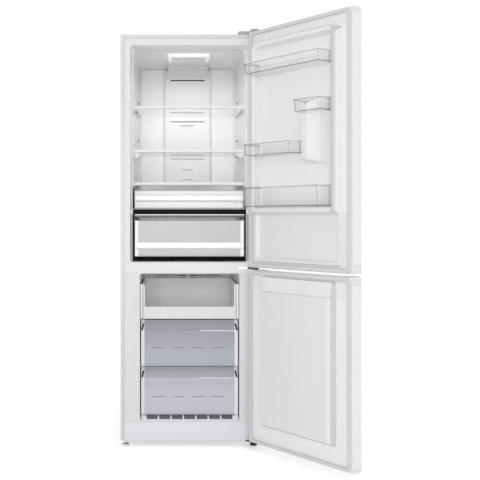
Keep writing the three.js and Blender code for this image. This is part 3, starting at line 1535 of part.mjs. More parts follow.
piece(fridge, "cabinet_shell", cabinetShell(), ...WHITE_STEEL);
piece(fridge, "back_panel", backPanel(), ...GREY_STEEL);
piece(fridge, "cabinet_foam", cabinetFoam(), ...FOAM);
piece(fridge, "fridge_liner", fridgeLiner(), ...WHITE_LINER);
piece(fridge, "freezer_liner", freezerLiner(), ...WHITE_LINER);
const beam = crossMember(FREEZER_CEILING + LINER_WALL + SEAT_GAP, FRIDGE_FLOOR - LINER_WALL - SEAT_GAP);
piece(fridge, "middle_beam", beam, ...WHITE_STEEL);
const sill = crossMember(CABINET_BASE, FREEZER_FLOOR - LINER_WALL - SEAT_GAP);
piece(fridge, "lower_front_panel", sill, ...WHITE_STEEL);
piece(fridge, "base_frame", baseFrame(), ...GREY_STEEL);
piece(fridge, "compressor", compressor(), ...BLACK_PLASTIC);
piece(fridge, "evaporation_tray", evaporationTray(), ...BLACK_PLASTIC);
piece(fridge, "cord_gland", cordGland(), ...BLACK_PLASTIC);
piece(fridge, "front_foot_left", frontFoot(-1), ...WHITE_PLASTIC);
piece(fridge, "front_foot_right", frontFoot(1), ...BLACK_PLASTIC);
piece(fridge, "rear_roller_left", rearRoller(-1), ...BLACK_PLASTIC);
piece(fridge, "rear_roller_right", rearRoller(1), ...BLACK_PLASTIC);
piece(fridge, "top_hinge", topHinge(), ...GREY_STEEL);
piece(fridge, "top_hinge_cover", topHingeCover(), ...WHITE_PLASTIC);
piece(fridge, "middle_hinge", middleHinge(), ...GREY_STEEL);
piece(fridge, "lower_hinge", lowerHinge(), ...BLACK_PLASTIC);

piece(fridge, "lamp_housing", lampHousing(), ...WHITE_PLASTIC);
piece(fridge, "lamp_lens", lampLens(), ...CLEAR_PLASTIC);
piece(fridge, "rear_duct_cover", rearDuctCover(), ...WHITE_PLASTIC);
const SHELVES = [
  ["upper_shelf", UPPER_SHELF],
  ["lower_shelf", LOWER_SHELF],
  ["chiller_shelf", CHILLER_SHELF],
];
for (const [name, top] of SHELVES) {
  piece(fridge, `${name}_glass`, shelfGlass(top, SHELF_FRONT), ...SHELF_PANE);
  piece(fridge, `${name}_trim`, shelfTrimPiece(top), ...WHITE_PLASTIC);
}
piece(fridge, "crisper_cover_glass", shelfGlass(CRISPER_COVER, COVER_FRONT), ...SHELF_PANE);
piece(fridge, "crisper_cover_trim", crisperCoverTrim(), ...BLACK_PLASTIC);
piece(fridge, "drawer_surround", drawerSurround(), ...BLACK_PLASTIC);
piece(fridge, "chiller_tray", chillerTray(), ...CLEAR_PLASTIC);
piece(fridge, "chiller_front", chillerFront(), ...WHITE_PLASTIC);
piece(fridge, "crisper_bin", crisperBin(), ...CLEAR_PLASTIC);
piece(fridge, "crisper_front", crisperFront(), ...WHITE_PLASTIC);

piece(fridge, "freezer_rear_cover", freezerRearCover(), ...WHITE_PLASTIC);
piece(fridge, "evaporator", evaporator(), ...GREY_STEEL);
piece(fridge, "evaporator_fan", evaporatorFan(), ...BLACK_PLASTIC);
piece(fridge, "sill_grille", sillGrille(), ...WHITE_PLASTIC);
piece(fridge, "freezer_top_tray", freezerTopTray(), ...WHITE_PLASTIC);
const FREEZER_DRAWERS = [
  ["freezer_drawer_upper", UPPER_DRAWER_BOTTOM, UPPER_DRAWER_HEIGHT, UPPER_DRAWER_DEPTH],
  ["freezer_drawer_lower", LOWER_DRAWER_BOTTOM, LOWER_DRAWER_HEIGHT, LOWER_DRAWER_DEPTH],
];
for (const [name, z0, height, depth] of FREEZER_DRAWERS) {
  piece(fridge, `${name}_bin`, freezerDrawerBin(z0, height, depth), ...CLEAR_PLASTIC);
  piece(fridge, `${name}_front`, freezerDrawerFront(z0, height), ...SMOKE_PLASTIC);
}

// A door's pieces are drawn shut in `shut`, which the turned group `swing` carries about the pin.
function openDoor() {
  const swing = new THREE.Group();
  swing.position.set(PIN_X, PIN_Y, 0);
  swing.rotation.z = THREE.MathUtils.degToRad(DOOR_ANGLE);
  const shut = new THREE.Group();
  shut.position.set(-PIN_X, -PIN_Y, 0);
  swing.add(shut);
  fridge.add(swing);
  return shut;
}

const upperDoor = openDoor();
const upperForm = (shrink) => join(upperRims(shrink), rackPad(shrink));
piece(upperDoor, "upper_door_skin", doorSkin(UPPER_DOOR, GRIP_CAP_HEIGHT, CAP_HEIGHT), ...WHITE_STEEL);
piece(upperDoor, "upper_door_foam", doorFoam(UPPER_DOOR, GRIP_CAP_HEIGHT, CAP_HEIGHT, upperForm), ...FOAM);
piece(upperDoor, "upper_door_liner", doorLiner(UPPER_DOOR, upperForm), ...WHITE_LINER);
piece(upperDoor, "upper_door_gasket", gasket(UPPER_DOOR), ...WHITE_PLASTIC);
const upperTopCap = doorCap(UPPER_DOOR.top - CAP_HEIGHT, UPPER_DOOR.top, 0);
piece(upperDoor, "upper_door_top_cap", upperTopCap, ...WHITE_PLASTIC);
const upperBottomCap = join(
  doorCap(UPPER_DOOR.bottom, UPPER_DOOR.bottom + GRIP_CAP_HEIGHT, -1),
  collar(MIDDLE_PLATE_Z + HINGE_PLATE + SEAT_GAP, UPPER_DOOR.bottom + 1),
);
piece(upperDoor, "upper_door_bottom_cap", upperBottomCap, ...WHITE_PLASTIC);
const bottleRack = rack(RACK_FREE_X, RACK_HINGE_X, BOTTLE_RACK_Z, BOTTLE_RACK_HEIGHT, RACK_REACH);
piece(upperDoor, "bottle_rack", bottleRack, ...CLEAR_PLASTIC);
const hingeRack = rack(HINGE_RACK_X, RACK_HINGE_X, HINGE_RACK_Z, HINGE_RACK_HEIGHT, SHORT_REACH);
piece(upperDoor, "hinge_side_rack", hingeRack, ...CLEAR_PLASTIC);
const freeRack = rack(RACK_FREE_X, FREE_RACK_X, FREE_RACK_Z, FREE_RACK_HEIGHT, SHORT_REACH);
piece(upperDoor, "free_side_rack", freeRack, ...CLEAR_PLASTIC);
const topRack = rack(RACK_FREE_X, RACK_HINGE_X, TOP_RACK_Z, TOP_RACK_HEIGHT, SHORT_REACH);
piece(upperDoor, "top_rack", topRack, ...CLEAR_PLASTIC);

const lowerDoor = openDoor();
piece(lowerDoor, "lower_door_skin", doorSkin(LOWER_DOOR, CAP_HEIGHT, GRIP_CAP_HEIGHT), ...WHITE_STEEL);
piece(lowerDoor, "lower_door_foam", doorFoam(LOWER_DOOR, CAP_HEIGHT, GRIP_CAP_HEIGHT, plug), ...FOAM);
piece(lowerDoor, "lower_door_liner", doorLiner(LOWER_DOOR, plug), ...WHITE_LINER);
piece(lowerDoor, "lower_door_gasket", gasket(LOWER_DOOR), ...WHITE_PLASTIC);
const lowerTopCap = doorCap(LOWER_DOOR.top - GRIP_CAP_HEIGHT, LOWER_DOOR.top, 1);
piece(lowerDoor, "lower_door_top_cap", lowerTopCap, ...WHITE_PLASTIC);
const lowerBottomCap = join(
  doorCap(LOWER_DOOR.bottom, LOWER_DOOR.bottom + CAP_HEIGHT, 0),
  collar(LOWER_PLATE_TOP + SEAT_GAP, LOWER_DOOR.bottom + 1),
);
piece(lowerDoor, "lower_door_bottom_cap", lowerBottomCap, ...WHITE_PLASTIC);

// The origin: bottom centre of the whole, as it stands with its doors open.
const extent = new THREE.Box3().setFromObject(fridge, true);
const centre = extent.getCenter(new THREE.Vector3());
fridge.position.set(-centre.x, -centre.y, -extent.min.z);

export default fridge;
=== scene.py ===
import json
import math
from collections import namedtuple

import bmesh
import bpy
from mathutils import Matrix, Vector


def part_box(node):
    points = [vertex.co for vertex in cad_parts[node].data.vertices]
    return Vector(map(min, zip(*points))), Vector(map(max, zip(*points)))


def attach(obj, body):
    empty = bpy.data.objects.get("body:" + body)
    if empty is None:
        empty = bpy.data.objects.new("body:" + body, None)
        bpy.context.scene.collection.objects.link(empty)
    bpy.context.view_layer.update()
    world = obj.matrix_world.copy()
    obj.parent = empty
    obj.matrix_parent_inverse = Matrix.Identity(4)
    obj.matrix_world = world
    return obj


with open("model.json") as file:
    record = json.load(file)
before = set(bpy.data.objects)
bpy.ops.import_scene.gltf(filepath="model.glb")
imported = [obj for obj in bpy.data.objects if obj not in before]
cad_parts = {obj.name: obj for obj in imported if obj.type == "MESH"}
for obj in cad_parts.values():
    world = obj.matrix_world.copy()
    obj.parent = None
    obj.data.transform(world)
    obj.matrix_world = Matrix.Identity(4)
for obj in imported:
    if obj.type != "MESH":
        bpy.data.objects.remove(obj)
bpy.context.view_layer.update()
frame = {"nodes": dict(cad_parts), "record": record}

NODES = frame["nodes"]
BODY_OF = {n: b for b, members in frame["record"]["behaviour"]["bodies"].items() for n in members}
SLOT_OF = {p["node"]: p["material_slot"] for p in frame["record"]["subparts"]}
MM = 0.001

# ---------- The two frames that pieces are placed in ----------

shell_low, shell_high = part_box("cabinet_shell")
MIDDLE_X = (shell_low.x + shell_high.x) / 2
FRONT_Y = shell_low.y


def at(x, y, z):
    """A point of the cabinet: millimetres from its middle, from its front face and from the floor."""
    return Vector((MIDDLE_X + x * MM, FRONT_Y + y * MM, z * MM))


# Both doors stand open by this angle at rest. Their hinge axis is at PIN in the cabinet's X and Y, and
# at PIN_U and PIN_W in a door's own measures.
DOOR_ANGLE = math.radians(125)
PIN = (282.0, -34.0)
PIN_U, PIN_W = 15.5, -24.0
U_AXIS = (-math.cos(DOOR_ANGLE), -math.sin(DOOR_ANGLE))
W_AXIS = (-math.sin(DOOR_ANGLE), math.cos(DOOR_ANGLE))


def door(u, w, z):
    """A point of an open door: from its hinge edge, inwards from its inner face, and from the floor."""
    x = PIN[0] + (u - PIN_U) * U_AXIS[0] + (w - PIN_W) * W_AXIS[0]
    y = PIN[1] + (u - PIN_U) * U_AXIS[1] + (w - PIN_W) * W_AXIS[1]
    return at(x, y, z)


# ---------- Stripes: colours that depend on the place on the object, many of them painted light and shade ---

# A stripe lies between two distances from a centre, on either side of it along a direction, in metres.
# A soft one comes in between the two distances and has no far limit.
Stripe = namedtuple("Stripe", "direction centre near far color soft", defaults=(False,))

# A centre this far to one side, in metres, leaves a stripe on one side only.
FAR_AWAY = 1.0


def level_stripe(z0, z1, color):
    """A stripe between two heights of the cabinet, in millimetres."""
    return Stripe((0, 0, 1), 0.0, z0 * MM, z1 * MM, color)


def above(z, stretch, color):
    """A colour that comes in over a stretch of height."""
    return Stripe((0, 0, 1), 0.0, z * MM, (z + stretch) * MM, color, soft=True)


def side_stripes(x0, x1, color):
    """A stripe on either side of the cabinet's middle."""
    return Stripe((1, 0, 0), MIDDLE_X, x0 * MM, x1 * MM, color)


def towards_hinge(x, stretch, color):
    """A colour that comes in towards the hinge side, from that distance right of the middle."""
    near = FAR_AWAY + x * MM
    return Stripe((1, 0, 0), MIDDLE_X - FAR_AWAY, near, near + stretch * MM, color, soft=True)


def depth_stripe(y0, y1, color):
    """A stripe between two depths behind the cabinet's front."""
    return Stripe((0, 1, 0), FRONT_Y - FAR_AWAY, FAR_AWAY + y0 * MM, FAR_AWAY + y1 * MM, color)


def before_depth(y, gap, stretch, color):
    """A colour that comes in over a stretch, from a gap in front of that depth towards the front."""
    return Stripe((0, 1, 0), FRONT_Y + y * MM, gap * MM, (gap + stretch) * MM, color, soft=True)


def front_face(color):
    """A stripe on what lies in the plane of the cabinet's front."""
    return depth_stripe(-3, 3, color)


def door_stripe(u0, u1, color):
    """A stripe between two distances from a door's hinge edge."""
    start = door(0, 0, 0)
    centre = start.x * U_AXIS[0] + start.y * U_AXIS[1]
    return Stripe((*U_AXIS, 0), centre, u0 * MM, u1 * MM, color)


# The skin's face is farther from a door's inner face than the first of these, and nearer than the second.
FACE_NEAR, FACE_FAR = 51.5, 80


def outer_face(color):
    """A stripe on the face of a door that looks away from the cabinet."""
    start = door(0, 0, 0)
    centre = -start.x * W_AXIS[0] - start.y * W_AXIS[1]
    return Stripe((-W_AXIS[0], -W_AXIS[1], 0), centre, FACE_NEAR * MM, FACE_FAR * MM, color)


# ---------- Materials ----------


def add_node(tree, kind, **inputs):
    node = tree.nodes.new(kind)
    for name, value in inputs.items():
        node.inputs[name.replace("_", " ")].default_value = value
    return node


def object_place(tree):
    """The place on the object, in metres. It stays with the mesh when a joint moves."""
    return tree.nodes.new("ShaderNodeTexCoord").outputs["Object"]


def noise(tree, scale, detail=2.0):
    texture = add_node(tree, "ShaderNodeTexNoise", Scale=scale, Detail=detail)
    tree.links.new(object_place(tree), texture.inputs["Vector"])
    return texture.outputs["Fac"]


def ranged(tree, value, low, high):
    node = add_node(tree, "ShaderNodeMapRange", To_Min=low, To_Max=high)
    tree.links.new(value, node.inputs["Value"])
    return node.outputs["Result"]


def along(tree, direction):
    """The distance of a point of the object along a direction, in metres."""
    dot = tree.nodes.new("ShaderNodeVectorMath")
    dot.operation = "DOT_PRODUCT"
    dot.inputs[1].default_value = direction
    tree.links.new(object_place(tree), dot.inputs[0])
    return dot.outputs["Value"]


def distance(tree, stripe):
    """How far a point lies from the stripe's centre."""
    away = tree.nodes.new("ShaderNodeMath")
    away.operation = "SUBTRACT"
    away.inputs[1].default_value = stripe.centre
    tree.links.new(along(tree, stripe.direction), away.inputs[0])
    size = tree.nodes.new("ShaderNodeMath")
    size.operation = "ABSOLUTE"
    tree.links.new(away.outputs[0], size.inputs[0])
    return size.outputs[0]


def striped(tree, shade, stripe):
    """Lays a stripe over a shade."""
    if stripe.soft:
        share = add_node(tree, "ShaderNodeMapRange", From_Min=stripe.near, From_Max=stripe.far)
        share.interpolation_type = "SMOOTHSTEP"
        tree.links.new(distance(tree, stripe), share.inputs["Value"])
    else:
        share = tree.nodes.new("ShaderNodeMath")
        share.operation = "COMPARE"
        share.inputs[1].default_value = (stripe.near + stripe.far) / 2
        share.inputs[2].default_value = (stripe.far - stripe.near) / 2
        tree.links.new(distance(tree, stripe), share.inputs[0])
    mix = tree.nodes.new("ShaderNodeMix")
    mix.data_type = "RGBA"
    mix.inputs["B"].default_value = (*stripe.color, 1)
    tree.links.new(share.outputs[0], mix.inputs["Factor"])
    tree.links.new(shade, mix.inputs["A"])
    return mix.outputs["Result"]


def let_light_through(tree, principled, share):
    """Lets that share of a lamp's light straight through clear plastic or glass."""
    path = tree.nodes.new("ShaderNodeLightPath")
    clear = add_node(tree, "ShaderNodeBsdfTransparent", Color=(share, share, share, 1))
    mix = tree.nodes.new("ShaderNodeMixShader")
    tree.links.new(path.outputs["Is Shadow Ray"], mix.inputs["Fac"])
    tree.links.new(principled.outputs["BSDF"], mix.inputs[1])
    tree.links.new(clear.outputs["BSDF"], mix.inputs[2])
    tree.links.new(mix.outputs["Shader"], tree.nodes["Material Output"].inputs["Surface"])


# How much finer the unevenness of the gloss is than the drift of the colour.
GLOSS_SCALE = 12


def finish(
    name,
    color,
    rough,
    tint=0.02,
    tint_scale=3.0,
    rough_spread=0.04,
    grain=900.0,
    grain_depth=0.02,
    passes=None,
    stripes=(),
    **shader,
):
    """A procedural finish: slow drift of colour, uneven gloss and a fine surface grain. Stripes of
    their own colour can lie across it, each over those before it."""
    material = bpy.data.materials.new(name)
    material.use_nodes = True
    tree = material.node_tree
    principled = tree.nodes["Principled BSDF"]
    for key, value in shader.items():
        principled.inputs[key.replace("_", " ")].default_value = value
    drift = tree.nodes.new("ShaderNodeMix")
    drift.data_type = "RGBA"
    drift.inputs["A"].default_value = (*[c * (1 - tint) for c in color], 1)
    drift.inputs["B"].default_value = (*[min(1, c * (1 + tint)) for c in color], 1)
    tree.links.new(noise(tree, tint_scale), drift.inputs["Factor"])
    shade = drift.outputs["Result"]
    for stripe in stripes:
        shade = striped(tree, shade, stripe)
    tree.links.new(shade, principled.inputs["Base Color"])
    unevenness = noise(tree, tint_scale * GLOSS_SCALE)
    gloss = ranged(tree, unevenness, rough - rough_spread, rough + rough_spread)
    tree.links.new(gloss, principled.inputs["Roughness"])
    bump = add_node(tree, "ShaderNodeBump", Strength=grain_depth, Distance=MM)
    tree.links.new(noise(tree, grain, 3.0), bump.inputs["Height"])
    tree.links.new(bump.outputs["Normal"], principled.inputs["Normal"])
    if passes:
        let_light_through(tree, principled, passes)
    return material


def grey(level, cool=0.0):
    """A grey, with that share more blue."""
    return (level, level, level * (1 + cool))


def tinted(level, blue):
    """A grey with its own level of blue."""
    return (level, level, blue)


# What a node of each slot is made of where it has no finish of its own.
FINISH = {
    "zinc_steel": finish(
        "zinc_plate", grey(0.46), 0.42, tint=0.12, tint_scale=40, rough_spread=0.1, Metallic=0.9
    ),
    "black_steel": finish(
        "black_enamel", grey(0.025), 0.35, tint=0.2, grain=400, grain_depth=0.1, Specular_IOR_Level=0.3
    ),
    "foam": finish(
        "polyurethane_foam", (0.72, 0.62, 0.38), 0.9, tint=0.1, tint_scale=60, grain=1500, grain_depth=0.5
    ),
    "liner": finish("vacuum_formed_liner", grey(0.91, 0.004), 0.4, tint=0.01, grain=1400, grain_depth=0.03),
    "white_plastic": finish("white_plastic", grey(0.86), 0.4, tint=0.01, grain=1800, grain_depth=0.05),
    "gasket": finish("gasket_rubber", grey(0.7), 0.55, tint=0.03, grain=1200, grain_depth=0.06),
    "black_plastic": finish(
        "black_plastic", grey(0.02), 0.42, tint=0.2, grain=1600, grain_depth=0.12, Specular_IOR_Level=0.3
    ),
    "clear_plastic": finish(
        "clear_polystyrene",
        grey(0.95),
        0.07,
        tint=0.005,
        rough_spread=0.02,
        grain_depth=0.01,
        passes=0.93,
        Transmission_Weight=1.0,
        IOR=1.3,
    ),
    "smoke_plastic": finish(
        "frosted_violet_plastic",
        (0.54, 0.56, 0.62),
        0.3,
        tint=0.03,
        grain=700,
        grain_depth=0.04,
        passes=0.35,
        stripes=[
            # The front darkens towards its top. Painted shade: the sloped band at the top of the front,
            # which leans back as a grip, is painted darker.
            above(385, 100, (0.44, 0.42, 0.5)),
            level_stripe(498, 541, (0.47, 0.46, 0.51)),
            side_stripes(195.5, 212, tinted(0.93, 0.97)),
        ],
        Transmission_Weight=0.2,
        IOR=1.45,
    ),
    "shelf_glass": finish(
        "shelf_glass",
        (0.95, 0.98, 0.965),
        0.03,
        tint=0.005,
        rough_spread=0.01,
        grain_depth=0.005,
        passes=0.97,
        Transmission_Weight=1.0,
        IOR=1.4,
    ),
    "aluminium": finish(
        "mill_aluminium", grey(0.6), 0.35, tint=0.08, tint_scale=30, rough_spread=0.08, Metallic=1.0
    ),
}

# Finishes of nodes and detail pieces that look different from their slot.
# Painted light: the doors' skins are painted brighter on their edges (0.94) than on their outer faces
# (0.72), and their caps likewise (0.86 against 0.74).
DOOR_ENAMEL = finish(
    "door_enamel",
    grey(0.94, 0.003),
    0.32,
    tint=0.004,
    grain=300,
    grain_depth=0.001,
    stripes=[outer_face(grey(0.72, 0.004))],
    Coat_Weight=0.3,
    Coat_Roughness=0.1,
)
DOOR_CAP = finish(
    "door_cap_plastic",
    grey(0.86),
    0.35,
    tint=0.01,
    grain_depth=0.01,
    stripes=[outer_face(grey(0.74, 0.004))],
)
# Painted shade: the cabinet's front face is painted darker than its sides.
SHELL = finish(
    "shell_enamel",
    grey(0.78, 0.005),
    0.3,
    tint=0.01,
    grain=300,
    grain_depth=0.004,
    stripes=[front_face(grey(0.66, 0.004))],
    Coat_Weight=0.25,
    Coat_Roughness=0.12,
)
BEAM_ENAMEL = finish("beam_enamel", grey(0.78, 0.004), 0.34, tint=0.01, grain=300, grain_depth=0.012)
# Painted shadow: the lower front panel is painted darker towards the hinge side, as the open door's shadow.
PANEL_ENAMEL = finish(
    "panel_enamel",
    (0.8, 0.795, 0.84),
    0.34,
    tint=0.01,
    grain=300,
    grain_depth=0.012,
    stripes=[towards_hinge(217, 45, (0.7, 0.695, 0.735))],
)

LINER_WHITE = grey(0.93, 0.004)
CABINET_LINER = finish(
    "cabinet_liner_plastic",
    LINER_WHITE,
    0.4,
    tint=0.01,
    grain=1400,
    grain_depth=0.03,
    stripes=[
        # Painted shade: the rear wall is painted darker towards the top, where the ceiling shades it. The
        # other walls lose that towards the front.
        above(1590, 120, grey(0.78)),
        before_depth(506, 10, 120, LINER_WHITE),
        # Painted light: a band at the ceiling is painted lighter.
        level_stripe(1712, 1745, grey(0.97)),
        # Painted shade: the front face is painted darker than the inside.
        front_face(grey(0.79, 0.004)),
    ],
)
# Painted shade: the duct cover is painted darker towards the top, where the ceiling shades it.
DUCT_WHITE = finish(
    "duct_cover_plastic",
    grey(0.88),
    0.4,
    tint=0.01,
    grain=1800,
    grain_depth=0.04,
    stripes=[above(1590, 120, grey(0.7))],
)
UPPER_DOOR_LINER = finish(
    "upper_door_liner_plastic",
    grey(0.88, 0.004),
    0.4,
    tint=0.01,
    grain=1400,
    grain_depth=0.03,
    stripes=[
        # Painted shade: the pad is painted darker, less what lies above and below it.
        door_stripe(440, 511, grey(0.81)),
        level_stripe(1447, 1790, grey(0.88)),
        level_stripe(0, 1176, grey(0.88)),
        # Painted shade: the rims at the hinge and at the free side are painted darker, less the door's top.
        door_stripe(58, 86, grey(0.83)),
        door_stripe(520, 541, grey(0.64)),
        level_stripe(1712, 1780, grey(0.88)),
        # Painted shade: the hollow at the foot of the door is painted darker.
        level_stripe(700, 1006, grey(0.82)),
    ],
)
LOWER_DOOR_LINER = finish(
    "lower_door_liner_plastic",
    tinted(0.9, 0.91),
    0.4,
    tint=0.01,
    grain=1400,
    grain_depth=0.03,
    stripes=[
        # Painted shade: the raised field, its slope and the free side are painted darker; the edges above
        # and below them keep the plain colour.
        door_stripe(92, 472, tinted(0.825, 0.84)),
        level_stripe(679, 744, tinted(0.87, 0.88)),
        door_stripe(496, 512, tinted(0.64, 0.65)),
        level_stripe(741, 790, tinted(0.9, 0.91)),
        level_stripe(0, 113, tinted(0.9, 0.91)),
    ],
)
# Painted shade: the freezer's liner is greyer than the fridge's, its front face is painted darker, and
# towards the hinge side it is painted darker still, as the open door's shadow.
FREEZER_LINER = finish(
    "freezer_liner_plastic",
    tinted(0.86, 0.875),
    0.42,
    tint=0.01,
    grain=1400,
    grain_depth=0.03,
    stripes=[
        front_face(tinted(0.75, 0.765)),
        towards_hinge(217, 45, tinted(0.67, 0.685)),
    ],
)

# The cover's trim and the frame round the drawers: black with pale ends. The trim's top edge is pale too.
PALE_END = grey(0.86)
COVER_TRIM = finish(
    "cover_trim_gloss",
    grey(0.003),
    0.12,
    tint=0.2,
    rough_spread=0.03,
    grain_depth=0.01,
    stripes=[level_stripe(1022.5, 1025.3, grey(0.8)), side_stripes(246.5, 262, PALE_END)],
    Specular_IOR_Level=0.03,
)
SURROUND = finish(
    "drawer_surround_plastic",
    grey(0.005),
    0.4,
    tint=0.2,
    grain_depth=0.03,
    stripes=[side_stripes(249, 262, PALE_END)],
    Specular_IOR_Level=0.03,
)
CHILLER_WHITE = finish(
    "chiller_front_plastic",
    grey(0.86),
    0.22,
    tint=0.005,
    grain_depth=0.01,
    stripes=[
        # The upper band is darker and the lower band grey. Painted light: a strip at the top of the lower
        # band is painted brighter, over the shade under the lip.
        level_stripe(1087, 1110, grey(0.64)),
        level_stripe(1024, 1054, grey(0.76)),
        level_stripe(1054, 1060, grey(0.98)),
    ],
    Coat_Weight=1.0,
    Coat_Roughness=0.05,
)
# Painted shade: the front's grey stands for the crisper's shaded inside, seen through frosted plastic. A
# band at the handle and the sides are pale.
CRISPER_GREY = finish(
    "crisper_front_plastic",
    grey(0.485),
    0.3,
    tint_scale=9,
    grain_depth=0.03,
    stripes=[level_stripe(850, 879.5, grey(0.97)), side_stripes(223, 238, grey(0.9))],
    Coat_Weight=0.3,
    Coat_Roughness=0.08,
)
LOWER_SMOKE = finish(
    "frosted_lilac_plastic",
    (0.68, 0.69, 0.76),
    0.3,
    tint=0.03,
    grain=700,
    grain_depth=0.04,
    passes=0.35,
    stripes=[
        # The front darkens towards its top. Painted shade: the sloped band at the top of the front, which
        # leans back as a grip, is painted darker.
        above(200, 80, (0.6, 0.61, 0.68)),
        level_stripe(293, 336, tinted(0.53, 0.58)),
        side_stripes(195.5, 212, tinted(0.95, 1.0)),
    ],
    Transmission_Weight=0.2,
    IOR=1.45,
)
# Painted shade: the tray is painted darker between 20 and 32 mm behind the cabinet's front.
TRAY_WHITE = finish(
    "tray_plastic",
    tinted(0.98, 0.99),
    0.36,
    tint=0.01,
    grain=1200,
    grain_depth=0.03,
    stripes=[depth_stripe(20, 32, tinted(0.75, 0.775))],
)

GLOW = {"Emission_Color": (1, 1, 1, 1)}
# Painted light: the lamp's frame glows by itself, more strongly than its lens.
LAMP_WHITE = finish("lamp_frame", grey(0.93), 0.35, grain_depth=0.01, Emission_Strength=0.3, **GLOW)
LAMP_LENS = finish(
    "milky_lens", grey(0.88), 0.35, tint=0.01, grain=500, grain_depth=0.05, Emission_Strength=0.16, **GLOW
)
CHROME = finish("bright_zinc", grey(0.62), 0.22, tint=0.1, grain=600, Metallic=1.0)
# The middle hinge is painted pale between 150 and 249 mm from the middle, and dark beyond.
DARK_METAL = finish(
    "blackened_steel",
    grey(0.05),
    0.35,
    tint=0.1,
    stripes=[side_stripes(150, 249, grey(0.8))],
    Metallic=0.6,
    Specular_IOR_Level=0.3,
)
HINGE_COVER = finish("hinge_cover_plastic", grey(0.4), 0.4, tint=0.03, grain_depth=0.04)
# Painted shade: the wall stops are of the liner's white plastic, painted grey.
STOP_SHADE_GREY = finish("stop_painted_shade", grey(0.5), 0.4, grain_depth=0.03)
# Painted shade: dark rods stand for the dark lines along the racks' clear edges.
RACK_EDGE_SHADE = finish(
    "clear_edge_painted_shade", grey(0.2), 0.15, tint=0.03, grain_depth=0.01, Transmission_Weight=0.25, IOR=1.45
)
# Painted shade: black for the top air slot and for the ends of the drawers' sloped bands.
SHADE_BLACK = finish("painted_shade_black", grey(0.006), 0.7, tint=0.2, grain_depth=0.05, Specular_IOR_Level=0.1)
# Painted shade: grey for an air slot, the outlets' mouths and the gap under the cover's trim; also the
# bracket pins' own grey.
SHADE_AND_PIN_GREY = finish("painted_shade_and_pin_grey", grey(0.22), 0.6, tint=0.05, grain_depth=0.05)
# Pale grey: painted shade for the lower air slot, the seals' edges and the lower door's creases; also the
# own colour of the lamp's bars and the duct's bead.
PALE_GREY_AND_SHADE = finish("pale_grey_and_painted_shade", grey(0.5), 0.6, tint=0.03, grain_depth=0.05)
# Painted shade: dark floors in the cells of the sill.
SILL_SHADE = finish("sill_painted_shade", (0.13, 0.125, 0.15), 0.5, tint=0.1, grain_depth=0.05)
# Painted shade: the drawers' raised dashes are of their plastic, painted dark.
DASH_SHADE = finish("dash_violet_painted_shade", (0.2, 0.19, 0.24), 0.4, tint=0.05)
# Bright white: a painted highlight on the drawers' creases, the racks' rims and the outlets' raised frames;
# also the plain white of the cover's bead and the tray's ears.
BRIGHT = finish(
    "bright_white_and_painted_highlight", grey(0.95), 0.2, tint=0.005, grain_depth=0.01, Coat_Weight=1.0, Coat_Roughness=0.05
)

OWN_FINISH = {
    "cabinet_shell": SHELL,
    "fridge_liner": CABINET_LINER,
    "freezer_liner": FREEZER_LINER,
    "middle_beam": BEAM_ENAMEL,
    "lower_front_panel": PANEL_ENAMEL,
    "front_foot_left": CHROME,
    "top_hinge_cover": HINGE_COVER,
    "middle_hinge": DARK_METAL,
    "lamp_housing": LAMP_WHITE,
    "lamp_lens": LAMP_LENS,
    "rear_duct_cover": DUCT_WHITE,
    "crisper_cover_trim": COVER_TRIM,
    "drawer_surround": SURROUND,
    "chiller_front": CHILLER_WHITE,
    "crisper_front": CRISPER_GREY,
    "freezer_top_tray": TRAY_WHITE,
    "freezer_drawer_lower_front": LOWER_SMOKE,
    "upper_door_liner": UPPER_DOOR_LINER,
    "lower_door_liner": LOWER_DOOR_LINER,
}
for which in ("upper", "lower"):
    OWN_FINISH[f"{which}_door_skin"] = DOOR_ENAMEL
    for end in ("top", "bottom"):
        OWN_FINISH[f"{which}_door_{end}_cap"] = DOOR_CAP

# ---------- Finishing the CAD nodes ----------


def geometry_group(name):
    group = bpy.data.node_groups.new(name, "GeometryNodeTree")
    for side in ("INPUT", "OUTPUT"):
        group.interface.new_socket("Geometry", in_out=side, socket_type="NodeSocketGeometry")
    return group, group.nodes.new("NodeGroupInput"), group.nodes.new("NodeGroupOutput")


def chain(group, *nodes):
    for a, b in zip(nodes, nodes[1:]):
        group.links.new(a.outputs["Geometry"], b.inputs["Geometry"])


def merging_group():
    """Joins the vertices of neighbouring facets and drops their flat normals."""
    group, start, end = geometry_group("merge_facets")
    drop = group.nodes.new("GeometryNodeRemoveAttribute")
    drop.inputs["Name"].default_value = "custom_normal"
    merge = group.nodes.new("GeometryNodeMergeByDistance")
    merge.inputs["Distance"].default_value = 0.01 * MM
    chain(group, start, drop, merge, end)
    return group


def smoothing_group(limit):
    """Shades faces smooth, and keeps edges sharp that turn by more than the limit."""
    group, start, end = geometry_group("smooth_by_angle")
    angle = group.nodes.new("GeometryNodeInputMeshEdgeAngle")
    sharp = group.nodes.new("FunctionNodeCompare")
    sharp.data_type, sharp.operation = "FLOAT", "GREATER_THAN"
    sharp.inputs["B"].default_value = limit
    group.links.new(angle.outputs["Unsigned Angle"], sharp.inputs["A"])
    faces = group.nodes.new("GeometryNodeSetShadeSmooth")
    edges = group.nodes.new("GeometryNodeSetShadeSmooth")
    edges.domain = "EDGE"
    edges.inputs["Shade Smooth"].default_value = False
    group.links.new(sharp.outputs["Result"], edges.inputs["Selection"])
    chain(group, start, faces, edges, end)
    return group


MERGE = merging_group()
SMOOTH = smoothing_group(math.radians(38))
CRISP = smoothing_group(math.radians(12))
FLAT_LIMIT = math.radians(0.5)
BEVEL_LIMIT = math.radians(35)


